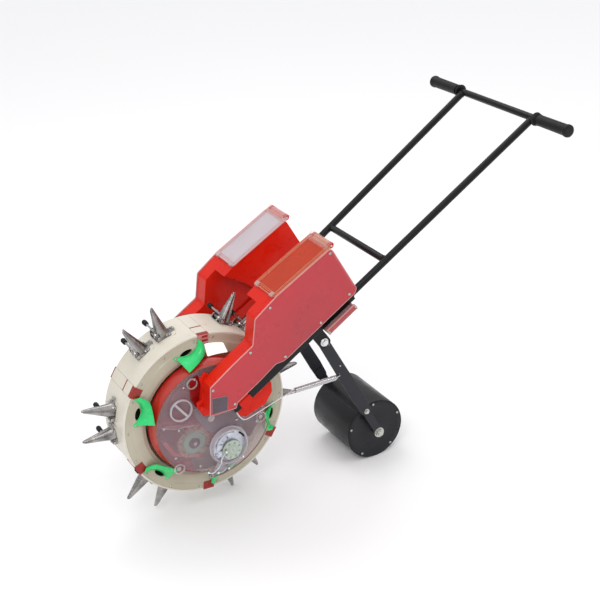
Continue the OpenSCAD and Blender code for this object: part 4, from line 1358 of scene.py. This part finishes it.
shell = Part().lathe([(ROLLER_R - 3, -ROLLER_HALF + 1.4), (ROLLER_R - 0.9, -ROLLER_HALF),
                      (ROLLER_R - 0.2, -ROLLER_HALF + 0.3),
                      (ROLLER_R, -ROLLER_HALF + 1.2), (ROLLER_R, ROLLER_HALF - 1.2),
                      (ROLLER_R - 0.2, ROLLER_HALF - 0.3),
                      (ROLLER_R - 0.9, ROLLER_HALF), (ROLLER_R - 3, ROLLER_HALF - 1.4)], side(*ROLLER), 144)
# folded seam along the shell
for sunk, a, r_ in ((0.1, 128, 0.75), (0.4, 130, 0.5)):
    x, z = polar(ROLLER_R - sunk, a)
    seam = [near(ROLLER[0] + x, d, ROLLER[1] + z) for d in (-ROLLER_HALF + 3, -30, 20, ROLLER_HALF - 3)]
    shell.sweep(seam, r_, 8)
build("v_roller_shell", shell, M["roller"], "roller", "roller_paint", ["roller_shell"], bevel=0, sharp=40)


def roller_end():
    p = Part()
    h = ROLLER_HALF
    end = Part().lathe([(6.1, h - 3), (ROLLER_R - 3.1, h - 3), (ROLLER_R - 3.1, h - 0.6),
                        (ROLLER_R - 5, h - 0.2), (60, h - 0.3),
                        (57, h - 1.2), (18, h - 1.2), (15, h - 0.2), (6.1, h - 0.2)], side(*ROLLER), 120)
    x, z = polar(ROLLER_R - 2, -22)
    end = cut(end, Part().prism(rounded(9, 5, 1, 3), h - 6, h + 3,
                                side(ROLLER[0] + x, ROLLER[1] + z, turn=-22)))
    p.use(0).put(end)
    for k in range(5):
        x, z = polar(67, 20 + 72 * k)
        screw(p.use(1), side(ROLLER[0] + x, ROLLER[1] + z, h - 0.3), 3.0)
    return p


both("roller_end", roller_end, [M["roller"], M["screw"]], "roller_paint", body="roller",
     nodes=["roller_ends"], bevel=0)


# ---------------- tension spring ----------------
def spring():
    p = Part()
    a, b = near(293, 108.2, 15.2), near(186, 116.5, 23.5)
    f = along(a, b)
    length, turns, steps = (b - a).length, 62, 14
    r_, w = 5.3, 0.82
    pts = []
    for i in range(turns * steps + 1):
        t = tau * i / steps
        pts.append(f @ Vector((r_ * cos(t), r_ * sin(t), length * i / (turns * steps))))
    p.sweep(pts, w, 6)
    # hook through the arm
    hook = smooth([pts[0], f @ Vector((2.2, -3.2, -2.4)), f @ Vector((0.5, 0.4, -5.5)), near(304, 106, 14.6),
                   near(308.4, 103.5, 14.9),
                   near(309, 99, 15.0), near(307.6, 96.2, 15.0)], 5)
    p.sweep(hook, 1.1, 8)
    eye = [f @ Vector((4.6 * cos(tau * i / 18), 0.4 * sin(tau * i / 36),
                       length + 5.0 + 4.6 * sin(tau * i / 18)))
           for i in range(17)]
    p.sweep(smooth([pts[-1], eye[13]], 3) + eye[14:] + eye[:12], 1.1, 8)
    return p


coil = build("v_tension_spring", spring(), M["steel"], "arm", "steel", ["tension_spring"], bevel=0, sharp=80)
# the coil spans from the frame to the arm, so it is given no body of its own and follows neither
coil.parent = None
del coil["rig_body"]
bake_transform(coil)

wire = Part()
wire.sweep(smooth([near(184, 116.6, 27.2), near(179.5, 117, 27.8), near(176.6, 117.2, 24.2),
                   near(178.6, 117.2, 20.6), near(183.4, 117, 20.2)], 5), 1.3, 8)
wire.sweep(smooth([near(177, 117.2, 24), near(140, 119.8, 17), near(100, 123.4, 8.6), near(68, 125.6, 2),
                   near(58, 124.4, 0.6),
                   near(52, 121.5, 3.6), near(48, 118, 9), near(45, 113.6, 17), near(44, 110, 23)], 6), 1.5,
           10)
for k in range(4):                          # wraps of the wire's end around itself
    at = along(near(174 - 2.3 * k, 117.4 + 0.2 * k, 23.2 - 0.6 * k), near(140, 120, 14.6))
    wire.lathe([(1.5, 0), (2.5, 0.3), (2.5, 1.3), (1.5, 1.6)], at, 14)
build("v_spring_rod", wire, M["steel"], "root", "steel", ["spring_rod"], bevel=0, sharp=80)


# ---------------- pins, screws and bolts ----------------
def root_fasteners():
    p = Part()
    for x, z in PLATE_SCREWS:
        screw(p.use(0), side(x, z, OUT + WALL), 3.3)
    for r_, a in COVER_SCREWS:
        x, z = polar(r_, a)
        screw(p.use(0), side(x, z, COVER_D + WALL), 3.0)
    # pivot bolt with washer and nut
    screw(p.use(1), side(*PIVOT, 108), 7.4, HEX)
    p.use(1).disc([(0, ARM_D - 6), (9, ARM_D - 6), (9, ARM_D - 0.6), (0, ARM_D - 0.6)], side(*PIVOT), 32)
    p.use(1).disc([(0, ARM_D - 6), (5, ARM_D - 6), (5, 108.2), (0, 108.2)], side(*PIVOT), 32)
    for x, z in ((58, 20), (112, 40)):
        screw(p.use(0), side(x, z, 95.4), 3.4)
    for s_ in (306.8, 386):
        q = TUBE @ Matrix(((1, 0, 0, s_), (0, 0, -1, -28.6), (0, 1, 0, -12), (0, 0, 0, 1)))
        screw(p.use(0), q, 2.9)
    return p


both("fastener", root_fasteners, [M["screw"], M["steel"]], "steel", nodes=["fasteners"], bevel=0, sharp=30)


def arm_bolts():
    p = Part()
    at = side(PIVOT[0], PIVOT[1], ARM_D + 4, ARM_A * 180 / pi)
    screw(p, at @ Matrix.Translation((241, 0, 0)), 5.2, HEX)
    for u, v in ((18, 7), (86, 4)):
        screw(p, at @ Matrix.Translation((u, v, 0)), 2.0)
    return p


both("arm_bolt", arm_bolts, M["screw"], "steel", body="arm", nodes=False, bevel=0, sharp=30)


def drum_fasteners():
    p = Part()
    for k in range(6):
        for da in (7, 30, 53):
            x, z = polar(180, BLOCK_A + da + 60 * k)
            screw(p, side(x, z, 52.6), 2.5)
        x, z = polar(163.5, BLOCK_A + 23.4 + 60 * k)
        screw(p, side(x, z, 56.2), 2.6)
    return p


both("drum_screw", drum_fasteners, M["screw"], "steel", body="drum", nodes=["drum_screws"], bevel=0, sharp=30)


def end_screw(centre, depth, r):
    """Maker of the one screw at the end of a rotor's shaft."""
    def make():
        p = Part()
        screw(p, side(*centre, depth), r)
        return p
    return make


for rotor, make in (("meter", end_screw(METER_C, 94, 3.2)), ("brush", end_screw(BRUSH_C, 76.4, 4.6))):
    both(f"{rotor}_screw", make, M["screw"], "steel", body=f"{rotor}_", nodes=False, bevel=0, sharp=30)

# ---------------- CAD nodes kept as they are ----------------
for node, key in (("axle", "screw"), ("drum_web", "cream"), ("lid_pins", "screw")):
    if node in frame["nodes"]:
        o = frame["nodes"][node]
        o.data.materials.clear()
        o.data.materials.append(M[key])

# ---------------- stage, camera and light ----------------
ground_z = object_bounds()[0].z
floor_mesh = bpy.data.meshes.new("floor")
reach = 40
floor_mesh.from_pydata([(x * reach, y * reach, ground_z) for x, y in ((-1, -1), (1, -1), (1, 1), (-1, 1))],
                       [], [(0, 1, 2, 3)])
floor = bpy.data.objects.new("floor", floor_mesh)
bpy.context.scene.collection.objects.link(floor)
floor_mat = material("studio_floor", (0.93, 0.93, 0.935), 0.9, vary=0.002, bump=0.0, spec=0.1, mottle=1.0)
floor_mesh.materials.append(floor_mat)

cam = bpy.data.cameras.new("camera")
cam.lens, cam.sensor_width, cam.sensor_fit = 72.1, 36, "HORIZONTAL"
cam.clip_start, cam.clip_end = 0.05, 100
camera = bpy.data.objects.new("camera", cam)
bpy.context.scene.collection.objects.link(camera)
az, el, roll = radians(-27.99), radians(26.36), radians(3.73)
back = Vector((sin(az) * cos(el), -cos(az) * cos(el), sin(el)))
r0 = Vector((cos(az), sin(az), 0))
u0 = back.cross(r0)
up, right = u0 * cos(roll) + r0 * sin(roll), r0 * cos(roll) - u0 * sin(roll)
camera_at = (-1.1343, -2.1132, 1.6056)
camera.matrix_world = Matrix.Translation(camera_at) @ Matrix((right, up, back)).transposed().to_4x4()
bpy.context.scene.camera = camera


def softbox(name, place, target, size, power):
    data = bpy.data.lights.new(name, "AREA")
    data.shape, data.size, data.energy = "SQUARE", size, power
    o = bpy.data.objects.new(name, data)
    bpy.context.scene.collection.objects.link(o)
    aim = (Vector(target) - Vector(place)).to_track_quat("-Z", "Y")
    o.matrix_world = Matrix.Translation(place) @ aim.to_matrix().to_4x4()


softbox("key", (-1.8, -2.2, 3.0), (0, 0, 0.3), 1.2, 30)
softbox("fill", (2.6, -2.2, 1.6), (0, 0, 0.3), 1.6, 8)
softbox("top", (0.3, 1.4, 3.2), (0, 0, 0.3), 1.6, 16)

world = bpy.data.worlds.new("studio")
bpy.context.scene.world = world
world.use_nodes = True
wn = world.node_tree
bg = wn.nodes["Background"]
path, coord = wn.nodes.new("ShaderNodeLightPath"), wn.nodes.new("ShaderNodeTexCoord")
split, ramp_ = wn.nodes.new("ShaderNodeSeparateXYZ"), wn.nodes.new("ShaderNodeValToRGB")
wn.links.new(coord.outputs["Generated"], split.inputs[0])
wn.links.new(split.outputs["Z"], ramp_.inputs[0])
ramp_.color_ramp.elements[0].position, ramp_.color_ramp.elements[0].color = 0.0, (0.34, 0.34, 0.35, 1)
ramp_.color_ramp.elements[1].position, ramp_.color_ramp.elements[1].color = 0.75, (1.05, 1.05, 1.06, 1)
blend_ = wn.nodes.new("ShaderNodeMix")
blend_.data_type = "RGBA"
wn.links.new(path.outputs["Is Camera Ray"], blend_.inputs[0])
wn.links.new(ramp_.outputs[0], blend_.inputs[6])
blend_.inputs[7].default_value = (1, 1, 1, 1)
wn.links.new(blend_.outputs[2], bg.inputs["Color"])
bg.inputs["Strength"].default_value = 1.05
bpy.context.scene.view_settings.view_transform = "Standard"
bpy.context.scene.view_settings.look = "None"
